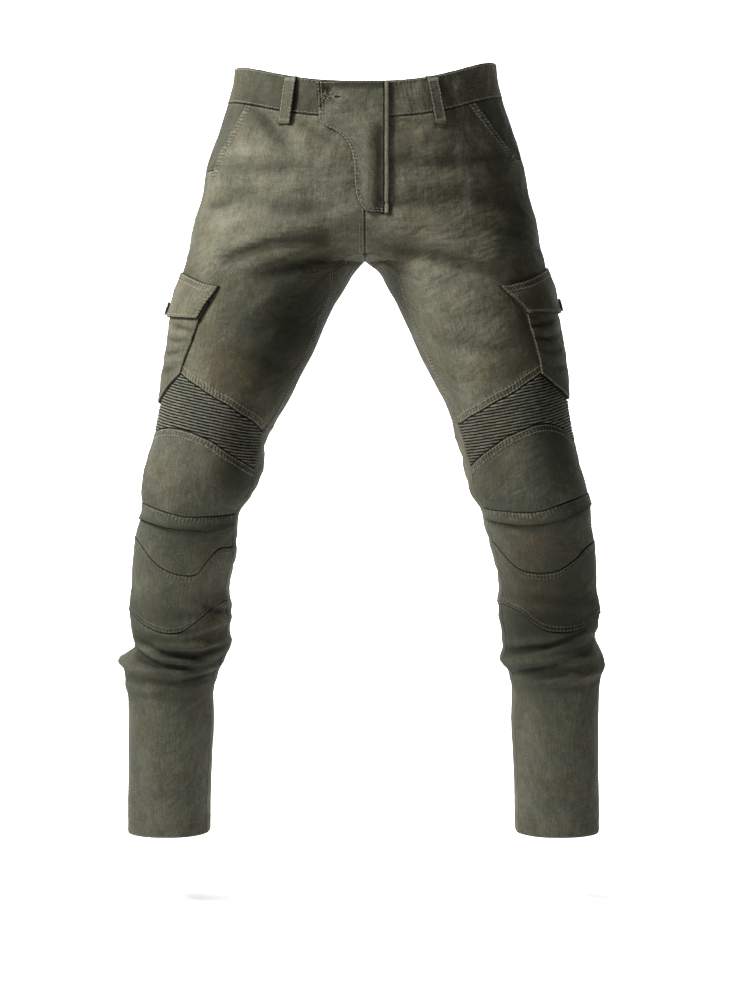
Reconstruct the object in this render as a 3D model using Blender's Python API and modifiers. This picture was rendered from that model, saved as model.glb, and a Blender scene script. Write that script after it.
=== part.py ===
"""Motorcycle trousers, worn and hollow, built from the pieces that a maker sews together.

Metres, +Z up, with the origin in the middle of the waist opening. The front faces -Y.
Right and left are the wearer's, so the right leg lies at -X.

One smooth surface gives the garment's form. Each leg has a level ring at every height, and
above the crotch the two rings run into one. A place on it is a share round the leg, from
0 at the inseam or the centre front, over 0.5 at the outseam, to 1 at the back, and a height.
A grid of rows and columns that follow the seams lies on that surface, and every cloth piece
is a wall over some of its cells, so neighbours meet point to point.
"""

import math

import bmesh
import bpy
import mathutils
import numpy as np

COLLECTION = "motorcycle_trousers"
LEGS = {"right": -1.0, "left": 1.0}

# Cloth and seams
SEAM_GAP = 0.0003
CLOTH = 0.0016
KNEE_CLOTH = 0.0022
KNEE_FULLNESS = 0.0015
BAND_CLOTH = 0.0026
ROUNDNESS = 2.2
SADDLE = 0.020

# Each level ring. Outer is the x of the outer side. Inner is the x of the inseam, and above the
# crotch, where it is negative, how far the leg's ring would run past the middle. Centre is a y,
# and front and back are depths from it.
SECTION_COLUMNS = ("z", "right_outer", "right_inner", "left_outer", "left_inner", "centre", "front", "back")
SECTIONS = (
    (0.030, 0.153, -0.173, 0.154, -0.174, 0.000, 0.107, 0.100),
    (0.000, 0.155, -0.175, 0.157, -0.177, 0.000, 0.108, 0.102),
    (-0.037, 0.163, -0.183, 0.165, -0.185, 0.000, 0.112, 0.112),
    (-0.074, 0.175, -0.195, 0.178, -0.198, 0.002, 0.116, 0.122),
    (-0.109, 0.188, -0.206, 0.189, -0.207, 0.005, 0.119, 0.130),
    (-0.145, 0.194, -0.200, 0.196, -0.202, 0.008, 0.122, 0.133),
    (-0.180, 0.205, -0.117, 0.206, -0.119, 0.008, 0.122, 0.131),
    (-0.195, 0.208, -0.067, 0.208, -0.069, 0.007, 0.120, 0.128),
    (-0.207, 0.210, -0.033, 0.210, -0.034, 0.006, 0.118, 0.124),
    (-0.216, 0.212, -0.014, 0.213, -0.014, 0.004, 0.115, 0.119),
    (-0.225, 0.214, 0.000, 0.215, 0.000, 0.002, 0.113, 0.114),
    (-0.235, 0.217, 0.010, 0.217, 0.014, 0.000, 0.111, 0.110),
    (-0.252, 0.219, 0.021, 0.219, 0.025, -0.002, 0.108, 0.106),
    (-0.288, 0.226, 0.042, 0.225, 0.044, -0.010, 0.102, 0.100),
    (-0.324, 0.231, 0.057, 0.232, 0.060, -0.018, 0.097, 0.096),
    (-0.359, 0.236, 0.075, 0.236, 0.077, -0.026, 0.092, 0.092),
    (-0.395, 0.242, 0.093, 0.240, 0.096, -0.034, 0.088, 0.087),
    (-0.430, 0.249, 0.114, 0.246, 0.107, -0.040, 0.084, 0.082),
    (-0.466, 0.260, 0.120, 0.255, 0.116, -0.044, 0.080, 0.078),
    (-0.501, 0.265, 0.133, 0.265, 0.126, -0.043, 0.076, 0.075),
    (-0.519, 0.264, 0.147, 0.268, 0.138, -0.040, 0.073, 0.073),
    (-0.538, 0.270, 0.151, 0.270, 0.142, -0.035, 0.071, 0.072),
    (-0.574, 0.277, 0.153, 0.276, 0.152, -0.024, 0.069, 0.070),
    (-0.611, 0.280, 0.162, 0.278, 0.160, -0.013, 0.068, 0.069),
    (-0.648, 0.283, 0.161, 0.282, 0.160, -0.004, 0.066, 0.067),
    (-0.674, 0.280, 0.163, 0.277, 0.165, 0.001, 0.065, 0.066),
    (-0.689, 0.276, 0.163, 0.280, 0.166, 0.004, 0.064, 0.066),
    (-0.700, 0.293, 0.170, 0.288, 0.163, 0.006, 0.065, 0.066),
    (-0.716, 0.291, 0.177, 0.286, 0.174, 0.008, 0.063, 0.064),
    (-0.732, 0.288, 0.182, 0.284, 0.177, 0.009, 0.060, 0.062),
    (-0.775, 0.287, 0.183, 0.283, 0.177, 0.014, 0.060, 0.061),
    (-0.846, 0.288, 0.187, 0.284, 0.181, 0.022, 0.059, 0.060),
    (-0.925, 0.290, 0.189, 0.286, 0.183, 0.028, 0.059, 0.060),
)
CROTCH_Z = -0.225
FRONT_RISE_END_Z = -0.216
HEM_Z = -0.915

# The waist's upper edge: low at the front, high at the sides
WAIST_FRONT_Z, WAIST_BACK_Z = -0.018, -0.001
WAIST_SIDE_Z = {"right": 0.004, "left": 0.010}
WAISTBAND_HEIGHT = 0.042
WAIST_DIP_POWER = 3.0

# The seams that run round the leg. Each is given where it crosses the front, as x and z from
# the inner end to the outer one, and by its height in the middle of the back.
LEVEL_SEAMS = {
    "slash_end": {
        "right": ((0.000, -0.118), (0.178, -0.118)),
        "left": ((0.000, -0.110), (0.175, -0.104)),
        "back": -0.110,
    },
    "rise_end": {
        "right": ((0.000, FRONT_RISE_END_Z), (0.212, FRONT_RISE_END_Z)),
        "left": ((0.000, FRONT_RISE_END_Z), (0.213, FRONT_RISE_END_Z)),
        "back": FRONT_RISE_END_Z,
    },
    "flap_top": {
        "right": ((0.030, -0.247), (0.168, -0.255), (0.215, -0.238)),
        "left": ((0.030, -0.247), (0.155, -0.255), (0.216, -0.232)),
        "back": -0.243,
    },
    "flap_end": {
        "right": ((0.050, -0.296), (0.191, -0.294), (0.228, -0.292)),
        "left": ((0.050, -0.292), (0.186, -0.288), (0.226, -0.288)),
        "back": -0.294,
    },
    "ribs_top": {
        "right": ((0.121, -0.423), (0.146, -0.402), (0.166, -0.389), (0.191, -0.373), (0.214, -0.357),
                  (0.229, -0.374), (0.240, -0.393)),
        "left": ((0.113, -0.415), (0.135, -0.400), (0.165, -0.383), (0.189, -0.367), (0.204, -0.357),
                 (0.221, -0.372), (0.237, -0.388)),
        "back": -0.412,
    },
    "knee_top": {
        "right": ((0.126, -0.471), (0.140, -0.460), (0.162, -0.445), (0.184, -0.431), (0.213, -0.421),
                  (0.232, -0.420), (0.246, -0.425)),
        "left": ((0.121, -0.469), (0.142, -0.446), (0.171, -0.426), (0.199, -0.415), (0.212, -0.414),
                 (0.228, -0.419), (0.246, -0.437)),
        "back": -0.450,
    },
    "knee_end": {
        "right": ((0.140, -0.521), (0.185, -0.523), (0.207, -0.523), (0.230, -0.518), (0.258, -0.510)),
        "left": ((0.133, -0.514), (0.163, -0.517), (0.199, -0.517), (0.226, -0.509), (0.261, -0.498)),
        "back": -0.520,
    },
    "band_end": {
        "right": ((0.150, -0.531), (0.163, -0.537), (0.190, -0.540), (0.216, -0.538), (0.258, -0.530)),
        "left": ((0.141, -0.528), (0.159, -0.531), (0.195, -0.533), (0.230, -0.527), (0.262, -0.514)),
        "back": -0.538,
    },
    "shin_top": {
        "right": ((0.160, -0.562), (0.176, -0.566), (0.186, -0.578), (0.195, -0.590), (0.210, -0.594),
                  (0.225, -0.591), (0.245, -0.580), (0.258, -0.566), (0.272, -0.550)),
        "left": ((0.155, -0.560), (0.165, -0.572), (0.179, -0.585), (0.201, -0.591), (0.223, -0.589),
                 (0.245, -0.576), (0.258, -0.564), (0.270, -0.556)),
        "back": -0.565,
    },
    "shin_end": {
        "right": ((0.172, -0.630), (0.190, -0.642), (0.202, -0.652), (0.219, -0.663), (0.236, -0.664),
                  (0.255, -0.658), (0.278, -0.644)),
        "left": ((0.172, -0.634), (0.190, -0.643), (0.199, -0.652), (0.215, -0.661), (0.236, -0.663),
                 (0.256, -0.660), (0.276, -0.648)),
        "back": -0.655,
    },
    "calf_line": {
        "right": ((0.178, -0.728), (0.282, -0.728)),
        "left": ((0.176, -0.728), (0.280, -0.728)),
        "back": -0.728,
    },
    "hem": {
        "right": ((0.192, HEM_Z), (0.286, HEM_Z)),
        "left": ((0.186, HEM_Z), (0.282, HEM_Z)),
        "back": HEM_Z,
    },
}
BENT_SEAMS = ("ribs_top",)

# The seams that run down the leg, as z and a share round the leg, or as x and z on the front
INNER_SEAM = (
    (0.030, 0.000), (FRONT_RISE_END_Z, 0.000), (-0.228, 0.085), (-0.240, 0.105), (-0.270, 0.085),
    (-0.300, 0.075), (-0.420, 0.070), (-0.470, 0.080), (-0.520, 0.060), (-0.925, 0.060),
)
POCKET_EDGE = {
    "right": ((0.125, 0.010), (0.139, -0.044), (0.159, -0.081), (0.178, -0.118), (0.176, -0.160),
              (0.168, -0.215), (0.168, -0.255), (0.191, -0.294), (0.214, -0.357), (0.222, -0.430),
              (0.238, -0.500), (0.246, -0.540), (0.255, -0.600), (0.258, -0.650), (0.265, -0.720),
              (0.269, -0.920)),
    "left": ((0.108, 0.010), (0.126, -0.038), (0.150, -0.071), (0.175, -0.104), (0.172, -0.160),
             (0.160, -0.215), (0.155, -0.255), (0.186, -0.289), (0.204, -0.357), (0.220, -0.430),
             (0.238, -0.500), (0.246, -0.540), (0.255, -0.600), (0.258, -0.650), (0.262, -0.720),
             (0.265, -0.920)),
}

# The grid's columns, with how many cells lie between one named column and the next
COLUMN_STEPS = (
    ("inseam", 2), ("inner_seam", 7), ("pocket_edge", 4), ("outseam", 11), ("back_seam", 2),
    ("inseam_again", 4),
)
# The grid's rows, with how many cells lie between one named row and the next
ROW_STEPS = (
    ("waist", 1), ("waist_seam", 3), ("slash_end", 4), ("rise_end", 2), ("flap_top", 2), ("flap_end", 3),
    ("ribs_top", 2), ("knee_top", 3), ("knee_end", 1), ("band_end", 2), ("shin_top", 3), ("shin_end", 9),
    ("calf_line", 3), ("hem", 0),
)

# The plain panels: the rows that bound them, the columns that bound them, and the wall's thickness
PLAIN_PANELS = {
    "waistband": ("waist", "waist_seam", "inner_seam", "back_seam", BAND_CLOTH),
    "pocket_facing": ("waist_seam", "slash_end", "pocket_edge", "outseam", CLOTH),
    "gusset": ("rise_end", "ribs_top", "back_seam", "inner_seam_again", CLOTH),
    "under_knee": ("band_end", "shin_top", "inner_seam", "outseam", CLOTH),
    "shin": ("shin_top", "shin_end", "inner_seam", "outseam", KNEE_CLOTH),
    "lower_front": ("shin_end", "hem", "inner_seam", "outseam", CLOTH),
}
DARK_PANELS = ("pocket_facing",)

# The largest folds, as soft troughs (negative) and ridges along a line over one face of a leg
FOLD_COLUMNS = ("leg", "face", "x0", "z0", "x1", "z1", "width", "height")
FOLDS = (
    ("right", "front", 0.045, -0.199, 0.110, -0.206, 0.010, -0.0045),
    ("right", "front", 0.110, -0.206, 0.163, -0.226, 0.008, -0.0048),
    ("right", "front", 0.060, -0.188, 0.174, -0.211, 0.008, 0.0022),
    ("right", "front", 0.060, -0.213, 0.155, -0.236, 0.007, 0.0020),
    ("right", "front", 0.025, -0.216, 0.122, -0.245, 0.009, -0.0035),
    ("right", "front", 0.110, -0.140, 0.185, -0.158, 0.012, -0.0025),
    ("right", "front", 0.150, -0.330, 0.090, -0.352, 0.010, -0.0020),
    ("left", "front", 0.012, -0.206, 0.083, -0.221, 0.010, -0.0035),
    ("left", "front", 0.083, -0.221, 0.157, -0.240, 0.010, -0.0045),
    ("left", "front", 0.030, -0.192, 0.131, -0.212, 0.009, 0.0020),
    ("left", "front", 0.060, -0.237, 0.131, -0.252, 0.008, 0.0018),
    ("left", "front", 0.110, -0.150, 0.180, -0.166, 0.012, -0.0025),
    ("left", "front", 0.085, -0.318, 0.165, -0.330, 0.009, -0.0025),
    ("left", "front", 0.100, -0.338, 0.170, -0.345, 0.009, 0.0020),
    ("right", "back", 0.040, -0.215, 0.160, -0.250, 0.013, -0.0050),
    ("left", "back", 0.040, -0.218, 0.150, -0.256, 0.013, -0.0050),
    ("right", "back", 0.110, -0.452, 0.230, -0.462, 0.012, -0.0055),
    ("left", "back", 0.110, -0.448, 0.230, -0.460, 0.012, -0.0055),
    ("right", "back", 0.120, -0.486, 0.240, -0.480, 0.011, -0.0045),
    ("left", "back", 0.120, -0.484, 0.240, -0.490, 0.011, -0.0045),
)
# The rolls that bunch at the calf, all round the leg: height at the front, how far the roll
# drops towards the outer side, how far it hangs lower at the front than at the sides, where
# round the leg it is fullest, its width and height
ROLL_COLUMNS = ("leg", "z", "tilt", "sag", "fullest", "width", "height")
ROLLS = (
    ("right", -0.630, -0.006, 0.000, 0.95, 0.0065, 0.0018),
    ("right", -0.655, 0.006, 0.000, 0.05, 0.0070, 0.0020),
    ("right", -0.682, 0.004, 0.000, 0.25, 0.0065, 0.0040),
    ("right", -0.712, -0.002, 0.010, 0.28, 0.0070, 0.0055),
    ("right", -0.734, 0.004, 0.004, 0.30, 0.0065, 0.0035),
    ("left", -0.634, 0.006, 0.000, 0.95, 0.0065, 0.0018),
    ("left", -0.672, -0.008, 0.002, 0.40, 0.0060, 0.0024),
    ("left", -0.698, -0.009, 0.000, 0.25, 0.0070, 0.0048),
    ("left", -0.722, -0.006, 0.004, 0.30, 0.0065, 0.0040),
)

# Ribbed panels
RIB_PITCH = 0.00335
RIB_HEIGHT = 0.0016
RIB_SLOPE = 0.21
RIB_COUNT = 25
RIB_FIRST_X, RIB_FIRST_Z = 0.214, -0.361
RIB_SNAP = 0.02

# Cargo pocket and flap, as heights over the thigh
POCKET_EDGE_HEIGHT, POCKET_BULGE = 0.0028, 0.0036
# Where the pocket's bulge starts and ends down its length, as shares of a half wave
BULGE_START, BULGE_END = 0.11, 0.93
POCKET_COLUMNS_BEHIND = 3
FLAP_CLOTH = 0.0024
FLAP_STAND = 0.0012
SLASH_LIP = 0.0012
BAND_LIP = 0.0030
BUTTON_RADIUS, BUTTON_THICKNESS, BUTTON_BEVEL, BUTTON_SIDES = 0.0085, 0.0034, 0.0008, 20
BUTTON_PLACE, BUTTON_CLEAR = 0.65, 0.0006

# Fly flap: its curved edge as x and z from the top, its straight edge and its strip
FLY_EDGE = (
    (-0.056, -0.019), (-0.055, -0.032), (-0.054, -0.044), (-0.053, -0.056), (-0.052, -0.066),
    (-0.047, -0.070), (-0.036, -0.075), (-0.024, -0.085), (-0.017, -0.097), (-0.013, -0.116),
    (-0.012, -0.136), (-0.009, -0.154), (-0.004, -0.163), (0.002, -0.169),
)
FLY_STRAIGHT_X = 0.0225
FLY_STRIP_WIDTH = 0.006
FLY_STEPS = 5
FLY_LIFT, FLY_CLOTH, FLY_STRIP_CLOTH = 0.0006, 0.0024, 0.0034
FLY_END_DROP = 0.003

# Belt loops. The front ones are placed by their x at the top and the foot, the others by their
# share round the leg.
LOOP_WIDTH, LOOP_LENGTH, LOOP_CLOTH = 0.015, 0.056, 0.0022
LOOP_LIFT, LOOP_STAND = 0.0006, 0.0030
LOOP_STEPS, LOOP_ROUNDNESS = 8, 0.7
LOOP_DROP = 0.001
FRONT_LOOP_X = {"right": (0.0855, 0.0935), "left": (0.0780, 0.0890)}
SIDE_LOOP_SHARE = 0.690

# Colours and finish
OLIVE = (0.118, 0.116, 0.080)
OLIVE_DARK = (0.085, 0.084, 0.060)
GUNMETAL = (0.045, 0.043, 0.040)


def material(name, colour, roughness, metallic=0.0):
    """A plain Principled material."""
    made = bpy.data.materials.new(name)
    made.use_nodes = True
    shader = made.node_tree.nodes["Principled BSDF"]
    shader.inputs["Base Color"].default_value = (*colour, 1.0)
    shader.inputs["Roughness"].default_value = roughness
    shader.inputs["Metallic"].default_value = metallic
    made.diffuse_color = (*colour, 1.0)
    return made


def through(knots, values, at):
    """A smooth curve through values given at rising knots, read at some places."""
    knots, values, at = np.asarray(knots, float), np.asarray(values, float), np.asarray(at, float)
    slopes = np.gradient(values, knots)
    place = np.clip(np.searchsorted(knots, at) - 1, 0, len(knots) - 2)
    step = knots[place + 1] - knots[place]
    t = np.clip((at - knots[place]) / step, 0.0, 1.0)
    start = values[place] * (1 + 2 * t) * (1 - t) ** 2 + slopes[place] * step * t * (1 - t) ** 2
    end = values[place + 1] * t**2 * (3 - 2 * t) - slopes[place + 1] * step * t**2 * (1 - t)
    return start + end


def signed_power(value, power):
    return np.sign(value) * np.abs(value) ** power


def section(leg, z):
    """The ring of a leg at height z: centre x, half width, centre y, front and back depth, half sweep."""
    table = {name: [row[k] for row in reversed(SECTIONS)] for k, name in enumerate(SECTION_COLUMNS)}
    outer = np.hypot(through(table["z"], table[leg + "_outer"], z), SADDLE)
    inseam = through(table["z"], table[leg + "_inner"], z)
    inner = np.where(inseam > 0, np.hypot(inseam, SADDLE), SADDLE + inseam)
    middle, half = (outer + inner) / 2, (outer - inner) / 2
    edge = signed_power(np.clip((SADDLE - middle) / half, -1, 1), ROUNDNESS / 2)
    sweep = np.where(inseam > 0, math.pi, np.arccos(np.clip(edge, -1, 1)))
    centre, front, back = (through(table["z"], table[name], z) for name in ("centre", "front", "back"))
    return middle, half, centre, front, back, sweep


def share_at(leg, x, z):
    """The share round the leg of the point of its front at distance x from the middle."""
    middle, half, _, _, _, sweep = section(leg, z)
    across = np.clip((np.hypot(x, SADDLE) - middle) / half, -1, 1)
    angle = np.arccos(signed_power(across, ROUNDNESS / 2))
    return (sweep - angle) / (2 * sweep)


def fold_height(leg, x, z, turn):
    """How far the folds move the cloth outwards at x, z. Turn is the angle from the outseam."""
    height = np.zeros_like(z)
    for row in FOLDS:
        fold = dict(zip(FOLD_COLUMNS, row))
        if fold["leg"] != leg:
            continue
        towards = -1.0 if fold["face"] == "front" else 1.0
        facing = np.clip(np.sin(turn) * towards / 0.5, 0, 1)
        run_x, run_z = fold["x1"] - fold["x0"], fold["z1"] - fold["z0"]
        along = ((x - fold["x0"]) * run_x + (z - fold["z0"]) * run_z) / (run_x**2 + run_z**2)
        near = np.clip(along, 0, 1)
        away = np.hypot(x - fold["x0"] - near * run_x, z - fold["z0"] - near * run_z)
        fade = np.clip(1.15 - np.abs(2 * along - 1) * 0.55, 0, 1)
        height += fold["height"] * fade * facing * np.exp(-((away / fold["width"]) ** 2))
    for row in ROLLS:
        roll = dict(zip(ROLL_COLUMNS, row))
        if roll["leg"] != leg:
            continue
        beside = 1 - np.clip(-np.sin(turn), 0, 1)
        level = roll["z"] - roll["tilt"] * np.cos(turn) + roll["sag"] * beside
        fullness = 0.6 + 0.4 * np.cos(turn - (roll["fullest"] - 0.5) * math.tau)
        height += roll["height"] * fullness * np.exp(-(((z - level) / roll["width"]) ** 2))
    return height


def surface(leg, share, z):
    """Points of the garment's outer face at a share round the leg and a height."""
    share, z = np.broadcast_arrays(np.asarray(share, float), np.asarray(z, float))
    middle, half, centre, front, back, sweep = section(leg, z)
    turn = (2 * share - 1) * sweep
    cos, sin = signed_power(np.cos(turn), 2 / ROUNDNESS), signed_power(np.sin(turn), 2 / ROUNDNESS)
    depth = np.where(turn < 0, front, back)
    x_ring, y = middle + half * cos, centre + depth * sin
    x = np.sqrt(np.maximum(x_ring**2 - SADDLE**2, 0))
    out_x, out_y = np.cos(turn) / half, np.sin(turn) / depth
    length = np.hypot(out_x, out_y)
    height = fold_height(leg, x, z, turn)
    centred = np.clip(x / 0.01, 0, 1)
    x = x + height * centred * out_x / length
    y = y + height * out_y / length
    return np.stack([LEGS[leg] * x, y, z], axis=-1)


def waist_z(leg, share):
    """The waistband's upper edge, dipping at the front."""
    side = np.abs(np.sin((2 * share - 1) * math.pi / 2)) ** WAIST_DIP_POWER
    low = np.where(share < 0.5, WAIST_FRONT_Z, WAIST_BACK_Z)
    return WAIST_SIDE_Z[leg] + (low - WAIST_SIDE_Z[leg]) * side


def seam_z(leg, name, share):
    """The height of a seam that runs round the leg, at a share round it."""
    if name == "waist":
        return waist_z(leg, share)
    if name == "waist_seam":
        return waist_z(leg, share) - WAISTBAND_HEIGHT
    seam = LEVEL_SEAMS[name]
    xs, zs = np.array(seam[leg]).T
    shares = share_at(leg, xs, zs)
    knots = [-0.25, *shares, 0.54, 0.77, 1.0 + shares[0], 1.25]
    heights = [seam["back"], *zs, zs[-1], seam["back"], zs[0], zs[1]]
    share = np.mod(share, 1.0 + 1e-9)
    if shares[0] > 0.02:
        knots[0], heights[0] = shares[0] - 0.3, seam["back"]
    if name in BENT_SEAMS:
        return np.interp(share, knots, heights)
    return through(knots, heights, share)


def column_plan():
    """For each column, how its share mixes the inner seam's, the pocket edge's and a fixed one."""
    mixes = {
        "inseam": (0, 0, 0.0), "inner_seam": (1, 0, 0.0), "pocket_edge": (0, 1, 0.0),
        "outseam": (0, 0, 0.5), "back_seam": (-1, 0, 1.0), "inseam_again": (0, 0, 1.0),
    }
    names = [name for name, _ in COLUMN_STEPS]
    columns, plan = {}, []
    for k, (name, steps) in enumerate(COLUMN_STEPS):
        columns[name] = len(plan)
        here = np.array(mixes[name])
        if k + 1 == len(names):
            plan += [plan[step] + np.array((0, 0, 1.0)) for step in range(steps + 1)]
            continue
        there = np.array(mixes[names[k + 1]])
        plan += [here + (there - here) * step / steps for step in range(steps)]
    columns["inner_seam_again"] = columns["inseam_again"] + columns["inner_seam"]
    return columns, np.array(plan)


def row_plan():
    """For each row, the seams above and below it and its share of the way."""
    rows, plan = {}, []
    for k, (name, steps) in enumerate(ROW_STEPS):
        rows[name] = len(plan)
        below = ROW_STEPS[min(k + 1, len(ROW_STEPS) - 1)][0]
        plan += [(name, below, step / steps) for step in range(steps)] or [(name, name, 0.0)]
    return rows, plan


COLUMNS, COLUMN_PLAN = column_plan()
ROWS, ROW_PLAN = row_plan()


def unit(vectors):
    return vectors / np.maximum(np.linalg.norm(vectors, axis=-1, keepdims=True), 1e-12)


def leg_grid(leg):
    """Points and outward normals of a leg's grid, by row and column."""
    seam_knots, seam_shares = np.array(INNER_SEAM[::-1]).T
    edge_x, edge_z = np.array(POCKET_EDGE[leg][::-1]).T
    edge_shares = share_at(leg, edge_x, edge_z)
    count = len(COLUMN_PLAN)
    gusset = np.arange(count) >= COLUMNS["back_seam"]
    from_inseam = np.clip(np.abs(np.arange(count) - COLUMNS["inseam_again"]) / COLUMNS["inner_seam"], 0, 1)
    saddle_z = CROTCH_Z + (FRONT_RISE_END_Z - CROTCH_Z) * from_inseam**2
    points = []
    for number, (upper, lower, part) in enumerate(ROW_PLAN):
        share = COLUMN_PLAN @ np.array((0.05, 0.36, 1.0))
        for _ in range(6):
            upper_z = seam_z(leg, upper, share)
            if upper == "rise_end":
                upper_z = np.where(gusset | (np.arange(count) < COLUMNS["inner_seam"]), saddle_z, upper_z)
            z = upper_z + (seam_z(leg, lower, share) - upper_z) * part
            inner = np.interp(z, seam_knots, seam_shares)
            if number <= ROWS["rise_end"]:
                inner = np.zeros(count)
            pocket = np.interp(z, edge_z, edge_shares)
            share = (COLUMN_PLAN * np.stack([inner, pocket, np.ones(count)], axis=-1)).sum(axis=-1)
            share[COLUMNS["inseam_again"] + 1:] -= 1
        points.append(surface(leg, share, z))
    points = np.array(points)
    return points, grid_normals(leg, points)


def grid_normals(leg, points):
    """Outward normals at the grid's points, from the cells round them."""
    across = points[:, 1:] - points[:, :-1]
    down = points[1:] - points[:-1]
    cells = np.cross(across[:-1] + across[1:], down[:, :-1] + down[:, 1:]) * -LEGS[leg]
    rise = ROWS["rise_end"]
    cells[:rise, COLUMNS["back_seam"]:] = 0
    cells[:rise, :COLUMNS["inner_seam"]] = 0
    normals = np.zeros_like(points)
    normals[:-1, :-1] += cells
    normals[1:, :-1] += cells
    normals[:-1, 1:] += cells
    normals[1:, 1:] += cells
    middle = np.abs(points[..., 0]) < 1e-6
    normals[..., 0] = np.where(middle, 0.0, normals[..., 0])
    return unit(normals)


class Shell:
    """A closed wall over a net of points, each with a normal and its inner and outer heights."""

    def __init__(self):
        self.points, self.normals, self.inner, self.outer = [], [], [], []
        self.triangles = []

    def add(self, point, normal, inner, outer):
        self.points.append(point)
        self.normals.append(normal)
        self.inner.append(inner)
        self.outer.append(outer)
        return len(self.points) - 1

    def face(self, *corners):
        """A face of three or four corners, some of which may be the same."""
        ring = [c for k, c in enumerate(corners) if c != corners[k - 1]]
        for k in range(1, len(ring) - 1):
            if len({ring[0], ring[k], ring[k + 1]}) == 3:
                self.triangles.append((ring[0], ring[k], ring[k + 1]))

    def rim(self):
        """The directed edges that only one triangle uses."""
        edges = {}
        for a, b, c in self.triangles:
            for edge in ((a, b), (b, c), (c, a)):
                edges[edge] = True
        return [edge for edge in edges if (edge[1], edge[0]) not in edges]

    def pulled_in(self):
        """The points, with those on the rim drawn half a seam gap into the piece."""
        points, normals = np.array(self.points), np.array(self.normals)
        inward = {}
        for a, b in self.rim():
            for end in (a, b):
                way = np.cross(normals[end], points[b] - points[a])
                inward.setdefault(end, []).append(way / np.linalg.norm(way))
        for end, ways in inward.items():
            total = sum(ways)
            corner = max(1 + float(np.dot(ways[0], ways[-1])), 0.3)
            shared = 2 / max(len(ways), 2)
            points[end] += total * (SEAM_GAP / 2) / corner * shared
        return points, normals

    def build(self, name, finish, collection):
        """Makes the wall's object: outer face, inner face and rim."""
        points, normals = self.pulled_in()
        count = len(points)
        outer = points + normals * np.array(self.outer)[:, None]
        inner = points + normals * np.array(self.inner)[:, None]
        faces = list(self.triangles)
        faces += [(c + count, b + count, a + count) for a, b, c in self.triangles]
        for a, b in self.rim():
            faces += [(b, a, a + count), (b, a + count, b + count)]
        mesh = bpy.data.meshes.new(name)
        mesh.from_pydata(np.vstack([outer, inner]).tolist(), [], faces)
        mesh.validate()
        mesh.materials.append(finish)
        item = bpy.data.objects.new(name, mesh)
        collection.objects.link(item)
        return item


def add_net(shell, leg, points, normals, inner, outer, cells=None):
    """Adds a grid of points to a shell. Cells says which cells are there, all if None."""
    rows, columns = points.shape[:2]
    inner = np.broadcast_to(inner, (rows, columns))
    outer = np.broadcast_to(outer, (rows, columns))
    if cells is None:
        cells = np.ones((rows - 1, columns - 1), bool)
    ids = {}

    def node(j, i):
        if (j, i) not in ids:
            ids[j, i] = shell.add(points[j, i], normals[j, i], inner[j, i], outer[j, i])
        return ids[j, i]

    for j in range(rows - 1):
        for i in range(columns - 1):
            if cells[j, i]:
                corners = node(j, i), node(j + 1, i), node(j + 1, i + 1), node(j, i + 1)
                shell.face(*(corners if LEGS[leg] > 0 else corners[::-1]))
    return shell


def grid_part(grid, first_row, last_row, first_column, last_column):
    """The points and normals between two named rows and two named columns."""
    points, normals = grid
    rows = slice(ROWS[first_row], ROWS[last_row] + 1)
    columns = slice(COLUMNS[first_column], COLUMNS[last_column] + 1)
    return points[rows, columns], normals[rows, columns]


def panel(name, leg, grid, bounds, thickness, finish, collection, lift=0.0, cells=None):
    """A cloth wall over part of a leg's grid."""
    points, normals = grid_part(grid, *bounds)
    shell = add_net(Shell(), leg, points, normals, -thickness, lift, cells)
    return shell.build(f"{leg}_{name}", finish, collection)


def front_panel(leg, grid, finish, collection):
    """The front, whose upper outer corner is cut away along the slash pocket."""
    bounds = "waist_seam", "ribs_top", "inner_seam", "outseam"
    points, _ = grid_part(grid, *bounds)
    cells = np.ones((points.shape[0] - 1, points.shape[1] - 1), bool)
    slash_rows = ROWS["slash_end"] - ROWS["waist_seam"]
    slash_column = COLUMNS["pocket_edge"] - COLUMNS["inner_seam"]
    cells[:slash_rows, slash_column:] = False
    lift = np.zeros(points.shape[:2])
    lift[1:slash_rows, slash_column] = SLASH_LIP
    panel("front", leg, grid, bounds, CLOTH, finish, collection, lift, cells)


def back_panel(leg, grid, finish, collection):
    """The back, which turns round the inner side of the leg below the ribbed panel's top."""
    bounds = "waist_seam", "hem", "outseam", "inner_seam_again"
    points, _ = grid_part(grid, *bounds)
    cells = np.ones((points.shape[0] - 1, points.shape[1] - 1), bool)
    cells[:ROWS["ribs_top"] - ROWS["waist_seam"], COLUMNS["back_seam"] - COLUMNS["outseam"]:] = False
    panel("back", leg, grid, bounds, CLOTH, finish, collection, 0.0, cells)


def knee_panel(leg, grid, finish, collection):
    """The knee panel, a little fuller in the middle over its pad pocket."""
    bounds = "knee_top", "knee_end", "inner_seam", "outseam"
    points, _ = grid_part(grid, *bounds)
    down = np.sin(np.linspace(0, math.pi, points.shape[0]))[:, None]
    across = np.sin(np.linspace(0, math.pi, points.shape[1]))[None, :]
    lift = KNEE_FULLNESS * down * np.sqrt(across)
    panel("knee", leg, grid, bounds, KNEE_CLOTH, finish, collection, lift)


def knee_band(leg, grid, finish, collection):
    """The band under the knee panel, whose lower edge stands proud."""
    bounds = "knee_end", "band_end", "inner_seam", "outseam"
    points, _ = grid_part(grid, *bounds)
    lift = np.zeros(points.shape[:2])
    lift[-1, :] = BAND_LIP
    panel("knee_band", leg, grid, bounds, KNEE_CLOTH, finish, collection, lift)


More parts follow.
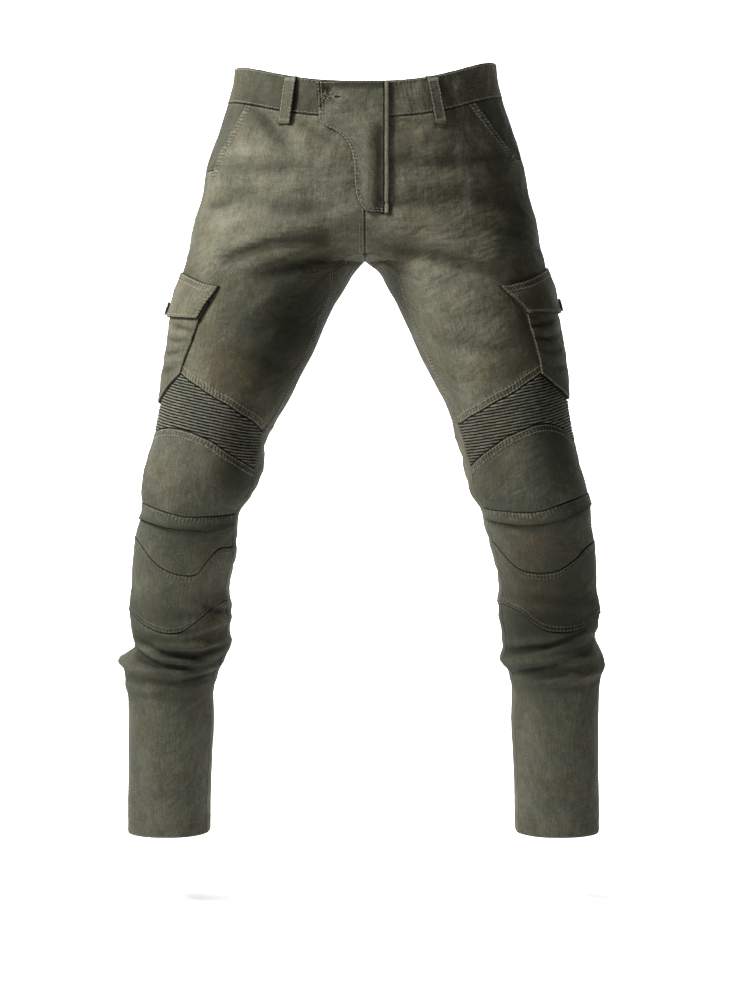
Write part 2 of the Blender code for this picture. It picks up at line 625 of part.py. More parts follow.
def ribbed_panel(leg, grid, finish, collection):
    """The accordion panel. Its ribs run nearly level, and the seams above and below cut them off."""
    points, normals = grid_part(grid, "ribs_top", "knee_top", "inner_seam", "outseam")
    rows, columns = points.shape[:2]
    lines = np.arange(2 * RIB_COUNT + 1)
    shell = Shell()
    ids = []
    for i in range(columns):
        top, foot = points[0, i], points[-1, i]
        level = RIB_FIRST_Z + RIB_SLOPE * (abs(top[0]) - RIB_FIRST_X)
        parts = (top[2] - (level - lines * RIB_PITCH / 2)) / (top[2] - foot[2])
        column = [shell.add(top, normals[0, i], -KNEE_CLOTH, 0.0)]
        last = shell.add(foot, normals[-1, i], -KNEE_CLOTH, 0.0)
        for line, part in zip(lines, parts):
            if part < RIB_SNAP:
                column.append(column[0])
            elif part > 1 - RIB_SNAP:
                column.append(last)
            else:
                place = part * (rows - 1)
                above = min(int(place), rows - 2)
                share = place - above
                point = points[above, i] * (1 - share) + points[above + 1, i] * share
                normal = normals[above, i] * (1 - share) + normals[above + 1, i] * share
                raised = RIB_HEIGHT * (line % 2) * (0.0 if i in (0, columns - 1) else 1.0)
                column.append(shell.add(point, normal / np.linalg.norm(normal), -KNEE_CLOTH, raised))
        column.append(last)
        ids.append(column)
    for i in range(columns - 1):
        for j in range(len(ids[0]) - 1):
            corners = ids[i][j], ids[i][j + 1], ids[i + 1][j + 1], ids[i + 1][j]
            shell.face(*(corners if LEGS[leg] > 0 else corners[::-1]))
    shell.build(f"{leg}_ribbed_panel", finish, collection)


def pocket_heights(rows, columns):
    """How far the cargo pocket's outer face stands off the thigh."""
    down = np.sin(np.linspace(BULGE_START, BULGE_END, rows) * math.pi)[:, None]
    across = np.sin(np.linspace(0, 1, columns) * math.pi)[None, :]
    return POCKET_EDGE_HEIGHT + POCKET_BULGE * np.sqrt(np.clip(down * across, 0, 1))


def cargo_columns():
    """The columns under the cargo pocket, from its front edge to behind the outseam."""
    return slice(COLUMNS["pocket_edge"], COLUMNS["outseam"] + POCKET_COLUMNS_BEHIND + 1)


def cargo_pocket(leg, grid, finish, collection):
    """The pocket body, a flat slab of folded cloth on the thigh."""
    points, normals = grid
    rows = slice(ROWS["flap_top"] + 1, ROWS["ribs_top"] + 1)
    part, part_normals = points[rows, cargo_columns()], normals[rows, cargo_columns()]
    heights = pocket_heights(*part.shape[:2])
    shell = add_net(Shell(), leg, part, part_normals, SEAM_GAP, heights)
    shell.build(f"{leg}_cargo_pocket", finish, collection)
    return heights


def cargo_flap(leg, grid, heights, finish, collection):
    """The flap over the pocket, standing off it towards its lower edge."""
    points, normals = grid
    rows = slice(ROWS["flap_top"], ROWS["flap_end"] + 1)
    part, part_normals = points[rows, cargo_columns()], normals[rows, cargo_columns()]
    inner = np.full(part.shape[:2], SEAM_GAP)
    count = len(inner) - 1
    inner[1:] = heights[:count] + SEAM_GAP
    inner[1:] += FLAP_STAND * np.arange(1, count + 1)[:, None] / count
    outer = inner + FLAP_CLOTH
    add_net(Shell(), leg, part, part_normals, inner, outer).build(f"{leg}_cargo_flap", finish, collection)
    middle = COLUMNS["outseam"] - COLUMNS["pocket_edge"]
    face = part + part_normals * outer[..., None]
    upper, lower = face[-2], face[-1]
    along, down = lower[middle + 1] - lower[middle - 1], lower[middle] - upper[middle]
    normal = unit(np.cross(along, down))
    normal = normal * np.sign(np.dot(normal, part_normals[-1, middle]))
    seat = upper[middle] + down * BUTTON_PLACE + normal * BUTTON_CLEAR
    return seat, normal


def button(name, seat, normal, finish, collection):
    """A round metal button that sits on its seat and faces along normal."""
    mesh = bpy.data.meshes.new(name)
    shape = bmesh.new()
    bmesh.ops.create_cone(
        shape, cap_ends=True, segments=BUTTON_SIDES, radius1=BUTTON_RADIUS, radius2=BUTTON_RADIUS,
        depth=BUTTON_THICKNESS,
    )
    shape.to_mesh(mesh)
    shape.free()
    mesh.materials.append(finish)
    item = bpy.data.objects.new(name, mesh)
    collection.objects.link(item)
    side = unit(np.cross(normal, (0.0, 0.0, 1.0)))
    up = np.cross(side, normal)
    centre = seat + normal * BUTTON_THICKNESS / 2
    frame = np.eye(4)
    frame[:3, 0], frame[:3, 1], frame[:3, 2], frame[:3, 3] = side, -up, normal, centre
    item.matrix_world = mathutils.Matrix(frame.tolist())
    edge = item.modifiers.new("edge", "BEVEL")
    edge.width = BUTTON_BEVEL
    edge.segments = 1
    edge.angle_limit = math.radians(60)
    return item


def net_normals(points, outward):
    """Normals of a free net of points, turned to the side that outward points to."""
    normals = np.cross(np.gradient(points, axis=1), np.gradient(points, axis=0))
    flip = np.sign((normals * outward).sum(axis=-1, keepdims=True))
    return unit(normals * flip)


def front_point(x, z):
    """The point of the garment's front at x and z, on whichever leg's side x lies."""
    leg = "left" if x >= 0 else "right"
    return surface(leg, share_at(leg, abs(x), z), z)


def free_slab(name, points, outward, inner, outer, finish, collection):
    """A slab over a net of its own, turned so that its faces point out."""
    normals = net_normals(points, outward)
    facing = np.cross(points[0, 1] - points[0, 0], points[1, 0] - points[0, 0])
    leg = "left" if np.dot(facing, normals[0, 0]) < 0 else "right"
    add_net(Shell(), leg, points, normals, inner, outer).build(name, finish, collection)


def fly(finish, collection):
    """The fly flap, with a curved edge on one side, and the strip along its straight edge."""
    edge = np.array(FLY_EDGE)
    outward = np.array((0.0, -1.0, 0.0))
    share = np.linspace(0, 1, FLY_STEPS + 1)
    drop = np.linspace(0, 1, len(edge)) ** 8 * FLY_END_DROP
    net, strip = [], []
    for (left, z), lower in zip(edge, drop):
        xs = left + (FLY_STRAIGHT_X - SEAM_GAP - left) * share
        net.append([front_point(x, z - lower * part) for x, part in zip(xs, share)])
        sides = FLY_STRAIGHT_X, FLY_STRAIGHT_X + FLY_STRIP_WIDTH
        strip.append([front_point(x, z - lower) for x in sides])
    for name, points, thickness in (("fly_flap", net, FLY_CLOTH), ("fly_strip", strip, FLY_STRIP_CLOTH)):
        free_slab(name, np.array(points), outward, FLY_LIFT, FLY_LIFT + thickness, finish, collection)


def loop_slab(name, net, outward, finish, collection):
    """A strip over a net of points, standing off the waistband between its two sewn ends."""
    arch = np.sin(np.linspace(0, math.pi, LOOP_STEPS + 1))[:, None] ** LOOP_ROUNDNESS
    stand = LOOP_LIFT + LOOP_STAND * arch * np.ones((1, 3))
    free_slab(name, np.array(net), outward, stand, stand + LOOP_CLOTH, finish, collection)


def belt_loop(name, leg, top_share, foot_share, finish, collection):
    """A belt loop at a share round the leg."""
    start = float(waist_z(leg, top_share)) - LOOP_DROP
    step = 1e-4
    net = []
    for part in np.linspace(0, 1, LOOP_STEPS + 1):
        share, z = top_share + (foot_share - top_share) * part, start - LOOP_LENGTH * part
        beside = surface(leg, share + step, z) - surface(leg, share - step, z)
        spread = LOOP_WIDTH / 2 * step * 2 / np.linalg.norm(beside)
        net.append([surface(leg, share + spread * side, z) for side in (-1, 0, 1)])
    outward = net[0][1] * np.array((1, 1, 0))
    loop_slab(name, net, outward, finish, collection)


def back_loop(finish, collection):
    """The belt loop over the centre back, half on each side."""
    net = []
    for part in np.linspace(0, 1, LOOP_STEPS + 1):
        centre = surface("left", 1.0, WAIST_BACK_Z - LOOP_DROP - LOOP_LENGTH * part)
        net.append([centre + np.array((side * LOOP_WIDTH / 2, 0, 0)) for side in (-1, 0, 1)])
    loop_slab("belt_loop_back", net, np.array((0.0, 1.0, 0.0)), finish, collection)


def leg_pieces(leg, finishes, collection):
    """All pieces of one leg."""
    cloth, dark, metal = finishes
    grid = leg_grid(leg)
    for name, (*bounds, thickness) in PLAIN_PANELS.items():
        panel(name, leg, grid, bounds, thickness, dark if name in DARK_PANELS else cloth, collection)
    front_panel(leg, grid, cloth, collection)
    back_panel(leg, grid, cloth, collection)
    ribbed_panel(leg, grid, dark, collection)
    knee_panel(leg, grid, cloth, collection)
    knee_band(leg, grid, cloth, collection)
    heights = cargo_pocket(leg, grid, cloth, collection)
    seat, normal = cargo_flap(leg, grid, heights, cloth, collection)
    button(f"{leg}_cargo_button", seat, normal, metal, collection)
    top_x, foot_x = FRONT_LOOP_X[leg]
    top = float(share_at(leg, top_x, WAIST_FRONT_Z))
    foot = float(share_at(leg, foot_x, WAIST_FRONT_Z - LOOP_LENGTH))
    belt_loop(f"{leg}_belt_loop_front", leg, top, foot, cloth, collection)
    belt_loop(f"{leg}_belt_loop_side", leg, SIDE_LOOP_SHARE, SIDE_LOOP_SHARE, cloth, collection)


def main():
    for item in list(bpy.data.objects):
        bpy.data.objects.remove(item, do_unlink=True)
    collection = bpy.data.collections.new(COLLECTION)
    bpy.context.scene.collection.children.link(collection)
    cloth = material("olive_twill", OLIVE, 0.85)
    dark = material("olive_twill_dark", OLIVE_DARK, 0.88)
    metal = material("gunmetal", GUNMETAL, 0.45, 0.9)
    for leg in LEGS:
        leg_pieces(leg, (cloth, dark, metal), collection)
    fly(cloth, collection)
    back_loop(cloth, collection)


main()
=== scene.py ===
"""Looks of the motorcycle trousers: finely meshed cloth panels, sewing, buttons, camera and light."""
import math

import bmesh
import bpy
import mathutils
import numpy as np
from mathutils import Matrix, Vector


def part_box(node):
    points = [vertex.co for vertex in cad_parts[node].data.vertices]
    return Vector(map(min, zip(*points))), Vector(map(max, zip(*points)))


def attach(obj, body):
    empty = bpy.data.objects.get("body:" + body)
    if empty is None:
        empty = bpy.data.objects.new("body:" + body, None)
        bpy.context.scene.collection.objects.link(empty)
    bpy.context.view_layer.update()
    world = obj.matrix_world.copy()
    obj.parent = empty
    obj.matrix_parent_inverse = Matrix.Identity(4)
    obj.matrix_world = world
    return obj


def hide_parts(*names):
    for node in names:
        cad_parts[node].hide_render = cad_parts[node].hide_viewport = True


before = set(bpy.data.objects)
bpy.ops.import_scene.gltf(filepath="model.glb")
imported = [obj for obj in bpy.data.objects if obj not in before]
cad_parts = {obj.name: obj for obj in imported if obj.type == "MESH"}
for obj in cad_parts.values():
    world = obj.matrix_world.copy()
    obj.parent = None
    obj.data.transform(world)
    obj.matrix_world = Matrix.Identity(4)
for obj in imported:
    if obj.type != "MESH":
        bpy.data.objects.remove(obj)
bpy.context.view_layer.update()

LEGS = {"right": -1.0, "left": 1.0}
MM = 0.001

# Cloth and seams, in metres as everywhere but in the tables that say millimetres
SEAM_GAP = 0.0003
CLOTH = 0.0016
KNEE_CLOTH = 0.0022
BAND_CLOTH = 0.0026
ROUNDNESS = 2.2
SADDLE = 0.020

# The level rings of each leg, as in the construction, in millimetres: the x of the outer side and
# of the inseam, a centre y, and the depths in front of and behind it
SECTION_COLUMNS = ("z", "right_outer", "right_inner", "left_outer", "left_inner", "centre", "front", "back")
SECTIONS = (
    (30, 153, -173, 154, -174, 0, 107, 100),
    (0, 155, -175, 157, -177, 0, 108, 102),
    (-37, 163, -183, 165, -185, 0, 112, 112),
    (-74, 175, -195, 178, -198, 2, 116, 122),
    (-109, 188, -206, 189, -207, 5, 119, 130),
    (-145, 194, -200, 196, -202, 8, 122, 133),
    (-180, 205, -117, 206, -119, 8, 122, 131),
    (-195, 208, -67, 208, -69, 7, 120, 128),
    (-207, 210, -33, 210, -34, 6, 118, 124),
    (-216, 212, -14, 213, -14, 4, 115, 119),
    (-225, 214, 0, 215, 0, 2, 113, 114),
    (-235, 217, 10, 217, 14, 0, 111, 110),
    (-252, 219, 21, 219, 25, -2, 108, 106),
    (-288, 226, 42, 225, 44, -10, 102, 100),
    (-324, 231, 57, 232, 60, -18, 97, 96),
    (-359, 236, 75, 236, 77, -26, 92, 92),
    (-395, 242, 93, 240, 96, -34, 88, 87),
    (-430, 249, 114, 246, 107, -40, 84, 82),
    (-466, 260, 120, 255, 116, -44, 80, 78),
    (-501, 265, 133, 265, 126, -43, 76, 75),
    (-519, 264, 147, 268, 138, -40, 73, 73),
    (-538, 270, 151, 270, 142, -35, 71, 72),
    (-574, 277, 153, 276, 152, -24, 69, 70),
    (-611, 280, 162, 278, 160, -13, 68, 69),
    (-648, 283, 161, 282, 160, -4, 66, 67),
    (-674, 280, 163, 277, 165, 1, 65, 66),
    (-689, 276, 163, 280, 166, 4, 64, 66),
    (-700, 293, 170, 288, 163, 6, 65, 66),
    (-716, 291, 177, 286, 174, 8, 63, 64),
    (-732, 288, 182, 284, 177, 9, 60, 62),
    (-775, 287, 183, 283, 177, 14, 60, 61),
    (-846, 288, 187, 284, 181, 22, 59, 60),
    (-925, 290, 189, 286, 183, 28, 59, 60),
)
RINGS = dict(zip(SECTION_COLUMNS, np.array(SECTIONS[::-1]).T * MM))
CROTCH_Z = -0.225
FRONT_RISE_END_Z = -0.216
HEM_Z = -0.915
HEM_DEPTH = 0.018

WAIST_FRONT_Z, WAIST_BACK_Z = -0.018, -0.001
WAIST_SIDE_Z = {"right": 0.004, "left": 0.010}
WAISTBAND_HEIGHT = 0.042
WAIST_DIP_POWER = 3.0

# The seams that run round the leg, as x and z on its front from the inner end to the outer one,
# and the height in the middle of the back
LEVEL_SEAMS = {
    "slash_end": {
        "right": ((0.000, -0.118), (0.178, -0.118)),
        "left": ((0.000, -0.110), (0.175, -0.104)),
        "back": -0.110,
    },
    "rise_end": {
        "right": ((0.000, FRONT_RISE_END_Z), (0.212, FRONT_RISE_END_Z)),
        "left": ((0.000, FRONT_RISE_END_Z), (0.213, FRONT_RISE_END_Z)),
        "back": FRONT_RISE_END_Z,
    },
    "flap_top": {
        "right": ((0.030, -0.247), (0.168, -0.255), (0.215, -0.238)),
        "left": ((0.030, -0.247), (0.155, -0.255), (0.216, -0.232)),
        "back": -0.243,
    },
    "flap_end": {
        "right": ((0.050, -0.296), (0.191, -0.294), (0.228, -0.292)),
        "left": ((0.050, -0.292), (0.186, -0.288), (0.226, -0.288)),
        "back": -0.294,
    },
    "ribs_top": {
        "right": ((0.121, -0.423), (0.146, -0.402), (0.166, -0.389), (0.191, -0.373), (0.214, -0.357),
                  (0.229, -0.374), (0.240, -0.393)),
        "left": ((0.113, -0.415), (0.135, -0.400), (0.165, -0.383), (0.189, -0.367), (0.204, -0.357),
                 (0.221, -0.372), (0.237, -0.388)),
        "back": -0.412,
    },
    "knee_top": {
        "right": ((0.126, -0.471), (0.140, -0.460), (0.162, -0.445), (0.184, -0.431), (0.213, -0.421),
                  (0.232, -0.420), (0.246, -0.425)),
        "left": ((0.121, -0.469), (0.142, -0.446), (0.171, -0.426), (0.199, -0.415), (0.212, -0.414),
                 (0.228, -0.419), (0.246, -0.437)),
        "back": -0.450,
    },
    "knee_end": {
        "right": ((0.140, -0.521), (0.185, -0.523), (0.207, -0.523), (0.230, -0.518), (0.258, -0.510)),
        "left": ((0.133, -0.514), (0.163, -0.517), (0.199, -0.517), (0.226, -0.509), (0.261, -0.498)),
        "back": -0.520,
    },
    "band_end": {
        "right": ((0.150, -0.531), (0.163, -0.537), (0.190, -0.540), (0.216, -0.538), (0.258, -0.530)),
        "left": ((0.141, -0.528), (0.159, -0.531), (0.195, -0.533), (0.230, -0.527), (0.262, -0.514)),
        "back": -0.538,
    },
    "shin_top": {
        "right": ((0.160, -0.562), (0.176, -0.566), (0.186, -0.578), (0.195, -0.590), (0.210, -0.594),
                  (0.225, -0.591), (0.245, -0.580), (0.258, -0.566), (0.272, -0.550)),
        "left": ((0.155, -0.560), (0.165, -0.572), (0.179, -0.585), (0.201, -0.591), (0.223, -0.589),
                 (0.245, -0.576), (0.258, -0.564), (0.270, -0.556)),
        "back": -0.565,
    },
    "shin_end": {
        "right": ((0.172, -0.630), (0.190, -0.642), (0.202, -0.652), (0.219, -0.663), (0.236, -0.664),
                  (0.255, -0.658), (0.278, -0.644)),
        "left": ((0.172, -0.634), (0.190, -0.643), (0.199, -0.652), (0.215, -0.661), (0.236, -0.663),
                 (0.256, -0.660), (0.276, -0.648)),
        "back": -0.655,
    },
    "calf_line": {
        "right": ((0.178, -0.728), (0.282, -0.728)),
        "left": ((0.176, -0.728), (0.280, -0.728)),
        "back": -0.728,
    },
    "hem": {
        "right": ((0.192, HEM_Z), (0.286, HEM_Z)),
        "left": ((0.186, HEM_Z), (0.282, HEM_Z)),
        "back": HEM_Z,
    },
}
BENT_SEAMS = ("ribs_top",)

# The seams that run down the leg, as z and a share round the leg, or as x and z on the front
INNER_SEAM = (
    (0.030, 0.000), (FRONT_RISE_END_Z, 0.000), (-0.228, 0.085), (-0.240, 0.105), (-0.270, 0.085),
    (-0.300, 0.075), (-0.420, 0.070), (-0.470, 0.080), (-0.520, 0.060), (-0.925, 0.060),
)
POCKET_EDGE = {
    "right": ((0.125, 0.010), (0.139, -0.044), (0.159, -0.081), (0.178, -0.118), (0.176, -0.160),
              (0.168, -0.215), (0.168, -0.255), (0.191, -0.294), (0.214, -0.357), (0.222, -0.430),
              (0.238, -0.500), (0.246, -0.540), (0.255, -0.600), (0.258, -0.650), (0.265, -0.720),
              (0.269, -0.920)),
    "left": ((0.108, 0.010), (0.126, -0.038), (0.150, -0.071), (0.175, -0.104), (0.172, -0.160),
             (0.160, -0.215), (0.155, -0.255), (0.186, -0.289), (0.204, -0.357), (0.220, -0.430),
             (0.238, -0.500), (0.246, -0.540), (0.255, -0.600), (0.258, -0.650), (0.262, -0.720),
             (0.265, -0.920)),
}
# How far behind the outseam the cargo pocket reaches, as a share of the way to the back seam
POCKET_BEHIND = 3 / 11
# Each named column's share round the leg: parts of the inner seam's and the pocket edge's share,
# and a fixed one
COLUMN_MIX = {
    "inner_seam": (1, 0, 0.0), "pocket_edge": (0, 1, 0.0), "outseam": (0, 0, 0.5),
    "pocket_back": (-POCKET_BEHIND, 0, 0.5 + POCKET_BEHIND / 2), "back_seam": (-1, 0, 1.0),
    "inseam_again": (0, 0, 1.0), "inner_seam_again": (1, 0, 1.0),
}
WRAPPED = ("inseam_again", "inner_seam_again")

# Soft troughs (negative) and ridges over one face of a leg, in millimetres: x and z where the
# line starts and ends, width and height. On the inner and outer faces x runs from front to back.
FOLDS = {
    ("right", "front"): (
        (45, -199, 110, -206, 10, -4.5), (110, -206, 163, -226, 8, -4.8),
        (60, -188, 174, -211, 8, 2.2), (60, -213, 155, -236, 7, 2),
        (25, -216, 122, -245, 9, -3.5), (110, -140, 185, -158, 12, -2.5),
        (150, -330, 90, -352, 10, -2),
    ),
    ("left", "front"): (
        (12, -206, 83, -221, 10, -3.5), (83, -221, 157, -240, 10, -4.5),
        (30, -192, 131, -212, 9, 2), (60, -237, 131, -252, 8, 1.8),
        (110, -150, 180, -166, 12, -2.5), (85, -318, 165, -330, 9, -2.5),
        (100, -338, 170, -345, 9, 2),
    ),
    ("right", "back"): (
        (40, -215, 160, -250, 13, -5), (110, -452, 230, -462, 12, -5.5),
        (120, -486, 240, -480, 11, -4.5),
    ),
    ("left", "back"): (
        (40, -218, 150, -256, 13, -5), (110, -448, 230, -460, 12, -5.5),
        (120, -484, 240, -490, 11, -4.5),
    ),
}
# Smaller folds, which only the cloth's surface has
FINE_FOLDS = {
    ("right", "front"): (
        (30, -94, 90, -60, 7, -1.8), (92, -96, 132, -48, 9, -2.6),
        (70, -88, 112, -46, 7, 1.8), (112, -100, 170, -100, 7, 2.2),
        (60, -118, 172, -116, 11, -2), (60, -140, 120, -137, 7, 1),
        (40, -168, 125, -160, 12, -2.2), (158, -158, 186, -162, 3.5, -1.8),
        (120, -172, 184, -186, 7, 1.8), (15, -172, 75, -180, 7, 1),
        (40, -240, 75, -268, 5, -1.2), (105, -262, 150, -300, 9, 1.4),
        (85, -290, 140, -312, 8, -1), (120, -372, 150, -384, 5, -1),
        (130, -395, 150, -412, 4, -0.9), (258, -663, 215, -670, 4, 2.2),
        (215, -670, 176, -656, 3.5, 2), (272, -674, 240, -687, 3.5, -3),
        (240, -687, 200, -691, 4.2, -4.2), (200, -691, 166, -680, 3.5, -3),
        (276, -688, 246, -704, 4.2, -3.8), (246, -704, 198, -710, 4.5, -3.6),
        (215, -722, 180, -714, 3, -2), (268, -685, 240, -697, 3.5, 2.6),
        (240, -697, 195, -701, 3.5, 2.6), (195, -701, 172, -692, 3.5, 2.2),
        (190, -632, 165, -640, 4, -3),
    ),
    ("left", "front"): (
        (24, -108, 100, -114, 10, -2.2), (95, -112, 160, -104, 10, -2),
        (40, -84, 130, -70, 7, 1), (45, -136, 150, -132, 8, 1.4),
        (24, -160, 105, -154, 10, -2.2), (30, -176, 120, -186, 9, 1.4),
        (130, -186, 196, -200, 6, -1.2), (20, -156, 32, -164, 3, -1.4),
        (30, -240, 80, -262, 5, 1), (120, -285, 168, -290, 6, -1),
        (110, -305, 150, -309, 5, 0.8), (110, -362, 150, -366, 6, -0.8),
        (176, -688, 215, -680, 3.5, -2.6), (215, -680, 262, -662, 3.5, -2.8),
        (180, -698, 262, -675, 4, 2.4), (185, -711, 225, -702, 3.5, -2.8),
        (225, -702, 264, -688, 3.5, -3), (190, -724, 240, -716, 4, -2),
    ),
    ("right", "inner"): (
        (-30, -402, 10, -398, 4.5, -2), (-50, -420, 0, -428, 5, 1.8),
        (-60, -446, 5, -440, 5, -2.2), (-65, -470, 0, -476, 5, 1.8),
        (-55, -500, 10, -494, 5, -2), (-40, -556, 20, -566, 5, -2.2),
        (-30, -588, 20, -580, 5, -2), (-30, -640, 30, -650, 5, -1.8),
    ),
    ("left", "inner"): (
        (-40, -414, 10, -408, 4.5, -2), (-55, -432, 0, -438, 5, 1.8),
        (-60, -458, 5, -452, 5, -2.2), (-60, -484, 0, -490, 5, -1.8),
        (-40, -552, 20, -546, 5, -2), (-30, -592, 20, -600, 5, -2),
        (-30, -642, 30, -636, 5, -1.8),
    ),
    ("right", "outer"): (
        (-60, -458, 10, -466, 6, -1.4), (-30, -552, 30, -545, 6, -1.8),
        (-20, -606, 40, -616, 6, -1.6),
    ),
    ("left", "outer"): (
        (-60, -464, 10, -456, 6, -1.4), (-30, -546, 30, -556, 6, -1.8),
        (-20, -618, 40, -608, 6, -1.6),
    ),
    ("right", "back"): (
        (60, -240, 170, -290, 9, -1.8), (30, -190, 120, -205, 8, 1.4),
        (115, -425, 200, -440, 8, -1.8), (150, -520, 240, -512, 9, -2.2),
    ),
    ("left", "back"): (
        (60, -244, 165, -285, 9, -1.8), (30, -186, 120, -208, 8, 1.4),
        (125, -425, 215, -432, 8, -1.8), (150, -515, 240, -522, 9, -2.2),
    ),
}
# Slow patches of painted light (positive amounts) and painted shade (negative ones), on one face of a leg:
# x and z of the middle and the half sizes in millimetres, and the amount
PATCHES = {
    ("right", "front"): (
        (125, -110, 60, 60, 0.3), (150, -185, 50, 30, 0.25),
        (125, -62, 40, 26, -0.25), (80, -300, 60, 90, -0.55),
        (145, -330, 45, 70, -0.2), (145, -480, 30, 60, -0.45),
        (215, -450, 35, 40, 0.15), (215, -700, 70, 50, -0.4),
        (190, -550, 50, 30, -0.25),
    ),
    ("left", "front"): (
        (110, -270, 40, 80, 0.15), (60, -150, 50, 50, 0.1),
        (190, -300, 40, 110, -0.35), (180, -160, 40, 80, -0.25),
        (230, -440, 35, 60, -0.3), (145, -470, 25, 50, -0.25),
        (220, -610, 70, 70, -0.4), (210, -700, 70, 50, -0.35),
    ),
    ("right", "back"): (
        (100, -150, 70, 80, 0.3), (90, -320, 50, 90, -0.3),
        (180, -470, 80, 40, -0.35), (220, -700, 70, 90, -0.3),
    ),
    ("left", "back"): (
        (100, -150, 70, 80, 0.3), (90, -320, 50, 90, -0.3),
        (180, -470, 80, 40, -0.35), (220, -700, 70, 90, -0.3),
    ),
}
# The same for patches that have turned a little brown
BROWN_PATCHES = {
    ("left", "front"): (
        (205, -558, 22, 18, 0.6), (208, -625, 26, 18, 0.5),
        (185, -255, 26, 8, 0.8), (195, -330, 14, 22, 0.5),
        (60, -160, 40, 40, 0.2),
    ),
    ("right", "front"): (
        (236, -475, 18, 34, 0.3), (175, -645, 12, 20, 0.7),
        (165, -350, 30, 36, 0.5),
    ),
    ("right", "back"): (
        (120, -150, 50, 50, 0.5),
    ),
    ("left", "back"): (
        (190, -600, 40, 50, 0.6),
    ),
}
# The rolls that bunch at the calf, all round the leg: height at the front, how far the roll
# drops towards the outer side, how far it hangs lower at the front than at the sides, where
# round the leg it is fullest, its width and height
ROLL_COLUMNS = ("leg", "z", "tilt", "sag", "fullest", "width", "height")
ROLLS = (
    ("right", -0.630, -0.006, 0.000, 0.95, 0.0065, 0.0018),
    ("right", -0.655, 0.006, 0.000, 0.05, 0.0070, 0.0020),
    ("right", -0.682, 0.004, 0.000, 0.25, 0.0065, 0.0040),
    ("right", -0.712, -0.002, 0.010, 0.28, 0.0070, 0.0055),
    ("right", -0.734, 0.004, 0.004, 0.30, 0.0065, 0.0035),
    ("left", -0.634, 0.006, 0.000, 0.95, 0.0065, 0.0018),
    ("left", -0.672, -0.008, 0.002, 0.40, 0.0060, 0.0024),
    ("left", -0.698, -0.009, 0.000, 0.25, 0.0070, 0.0048),
    ("left", -0.722, -0.006, 0.004, 0.30, 0.0065, 0.0040),
)
# Slow waves of the cloth between the folds: wavelength across and down, turn and height
RIPPLES = (
    (0.061, 0.043, 0.3, 0.00030), (0.037, 0.071, 1.9, 0.00024), (0.024, 0.033, 4.1, 0.00014),
    (0.017, 0.021, 2.6, 0.00008),
)

# Ribbed panels
RIB_PITCH = 0.00335
# Ribs that are cut off so soon under the upper seam's peak that they only show beside it
RIBS_UNDER_PEAK = 3
RIB_HEIGHT = 0.0016
RIB_SLOPE = 0.21
RIB_COUNT = 25
RIB_FIRST_X, RIB_FIRST_Z = 0.214, -0.361
RIB_LINES = 6
RIB_WAVER = 0.00016

# Cargo pocket and flap, as heights over the thigh
POCKET_EDGE_HEIGHT, POCKET_BULGE = 0.0028, 0.0036
BULGE_START, BULGE_END = 0.12, 0.93
FLAP_CLOTH = 0.0024
FLAP_STAND = 0.0012
SLASH_LIP = 0.0012
BAND_LIP = 0.0030
KNEE_FULLNESS = 0.0015
BUTTON_RADIUS, BUTTON_THICKNESS = 0.0085, 0.0034
BUTTON_SIDES = 48
# The button's section, as distance from its axis and height, both as shares
BUTTON_SECTION = (
    (0.00, -0.50), (0.55, -0.50), (0.88, -0.42), (1.00, -0.10), (0.99, 0.22), (0.93, 0.44),
    (0.84, 0.50), (0.76, 0.42), (0.71, 0.16), (0.64, 0.06), (0.44, 0.05), (0.36, 0.14),
    (0.26, 0.30), (0.12, 0.36), (0.00, 0.37),
)
# The creases of the cargo pocket: place down and across it, slope and depth
CREASES = (
    (0.36, 0.16, 0.30, 0.0014), (0.50, 0.20, 0.34, 0.0014), (0.62, 0.24, 0.38, 0.0013),
    (0.76, 0.30, 0.42, 0.0014), (0.43, 0.18, 0.32, -0.0010), (0.69, 0.26, 0.40, -0.0010),
    (0.48, 0.62, -0.2, 0.0007),
)
CREASE_WIDTH, CREASE_REACH = 0.035, 0.22
POCKET_ACROSS = {"pocket_edge": 0.0, "outseam": 4 / 7, "pocket_back": 1.0}
POCKET_DOWN = {"pocket_start": 0.0, "flap_end": 0.25, "ribs_top": 1.0}

# Fly flap: its curved edge as x and z from the top, its straight edge and its strip
FLY_EDGE = (
    (-0.056, -0.019), (-0.055, -0.032), (-0.054, -0.044), (-0.053, -0.056), (-0.052, -0.066),
    (-0.047, -0.070), (-0.036, -0.075), (-0.024, -0.085), (-0.017, -0.097), (-0.013, -0.116),
    (-0.012, -0.136), (-0.009, -0.154), (-0.004, -0.163), (0.002, -0.169),
)
FLY_STRAIGHT_X = 0.0225
FLY_STRIP_WIDTH, FLY_STRIP_TURN = 0.006, 0.004
FLY_LIFT, FLY_CLOTH, FLY_STRIP_CLOTH = 0.0006, 0.0024, 0.0034
FLY_END_DROP = 0.003
# The buttonhole's middle as x and z, and its half length and half width
BUTTONHOLE = (-0.0305, -0.0375)
BUTTONHOLE_SIZE = (0.0052, 0.0014)
HOLE_STITCHES, HOLE_FRAYS = 44, 90
# The worn black corner of the fly flap, as blots of x, z, half width and strength
FLY_BLOTS = (
    (-0.052, -0.028, 0.0065, 0.75), (-0.050, -0.037, 0.0065, 0.85), (-0.044, -0.033, 0.0045, 0.60),
    (-0.045, -0.0415, 0.0030, 0.70), (-0.039, -0.0365, 0.0028, 0.80), (-0.051, -0.047, 0.0032, 0.70),
    (-0.036, -0.0395, 0.0022, 0.70), (-0.034, -0.0335, 0.0020, 0.50), (-0.041, -0.029, 0.0022, 0.50),
    (-0.024, -0.040, 0.0025, 0.40), (-0.048, -0.043, 0.0020, 0.60),
)
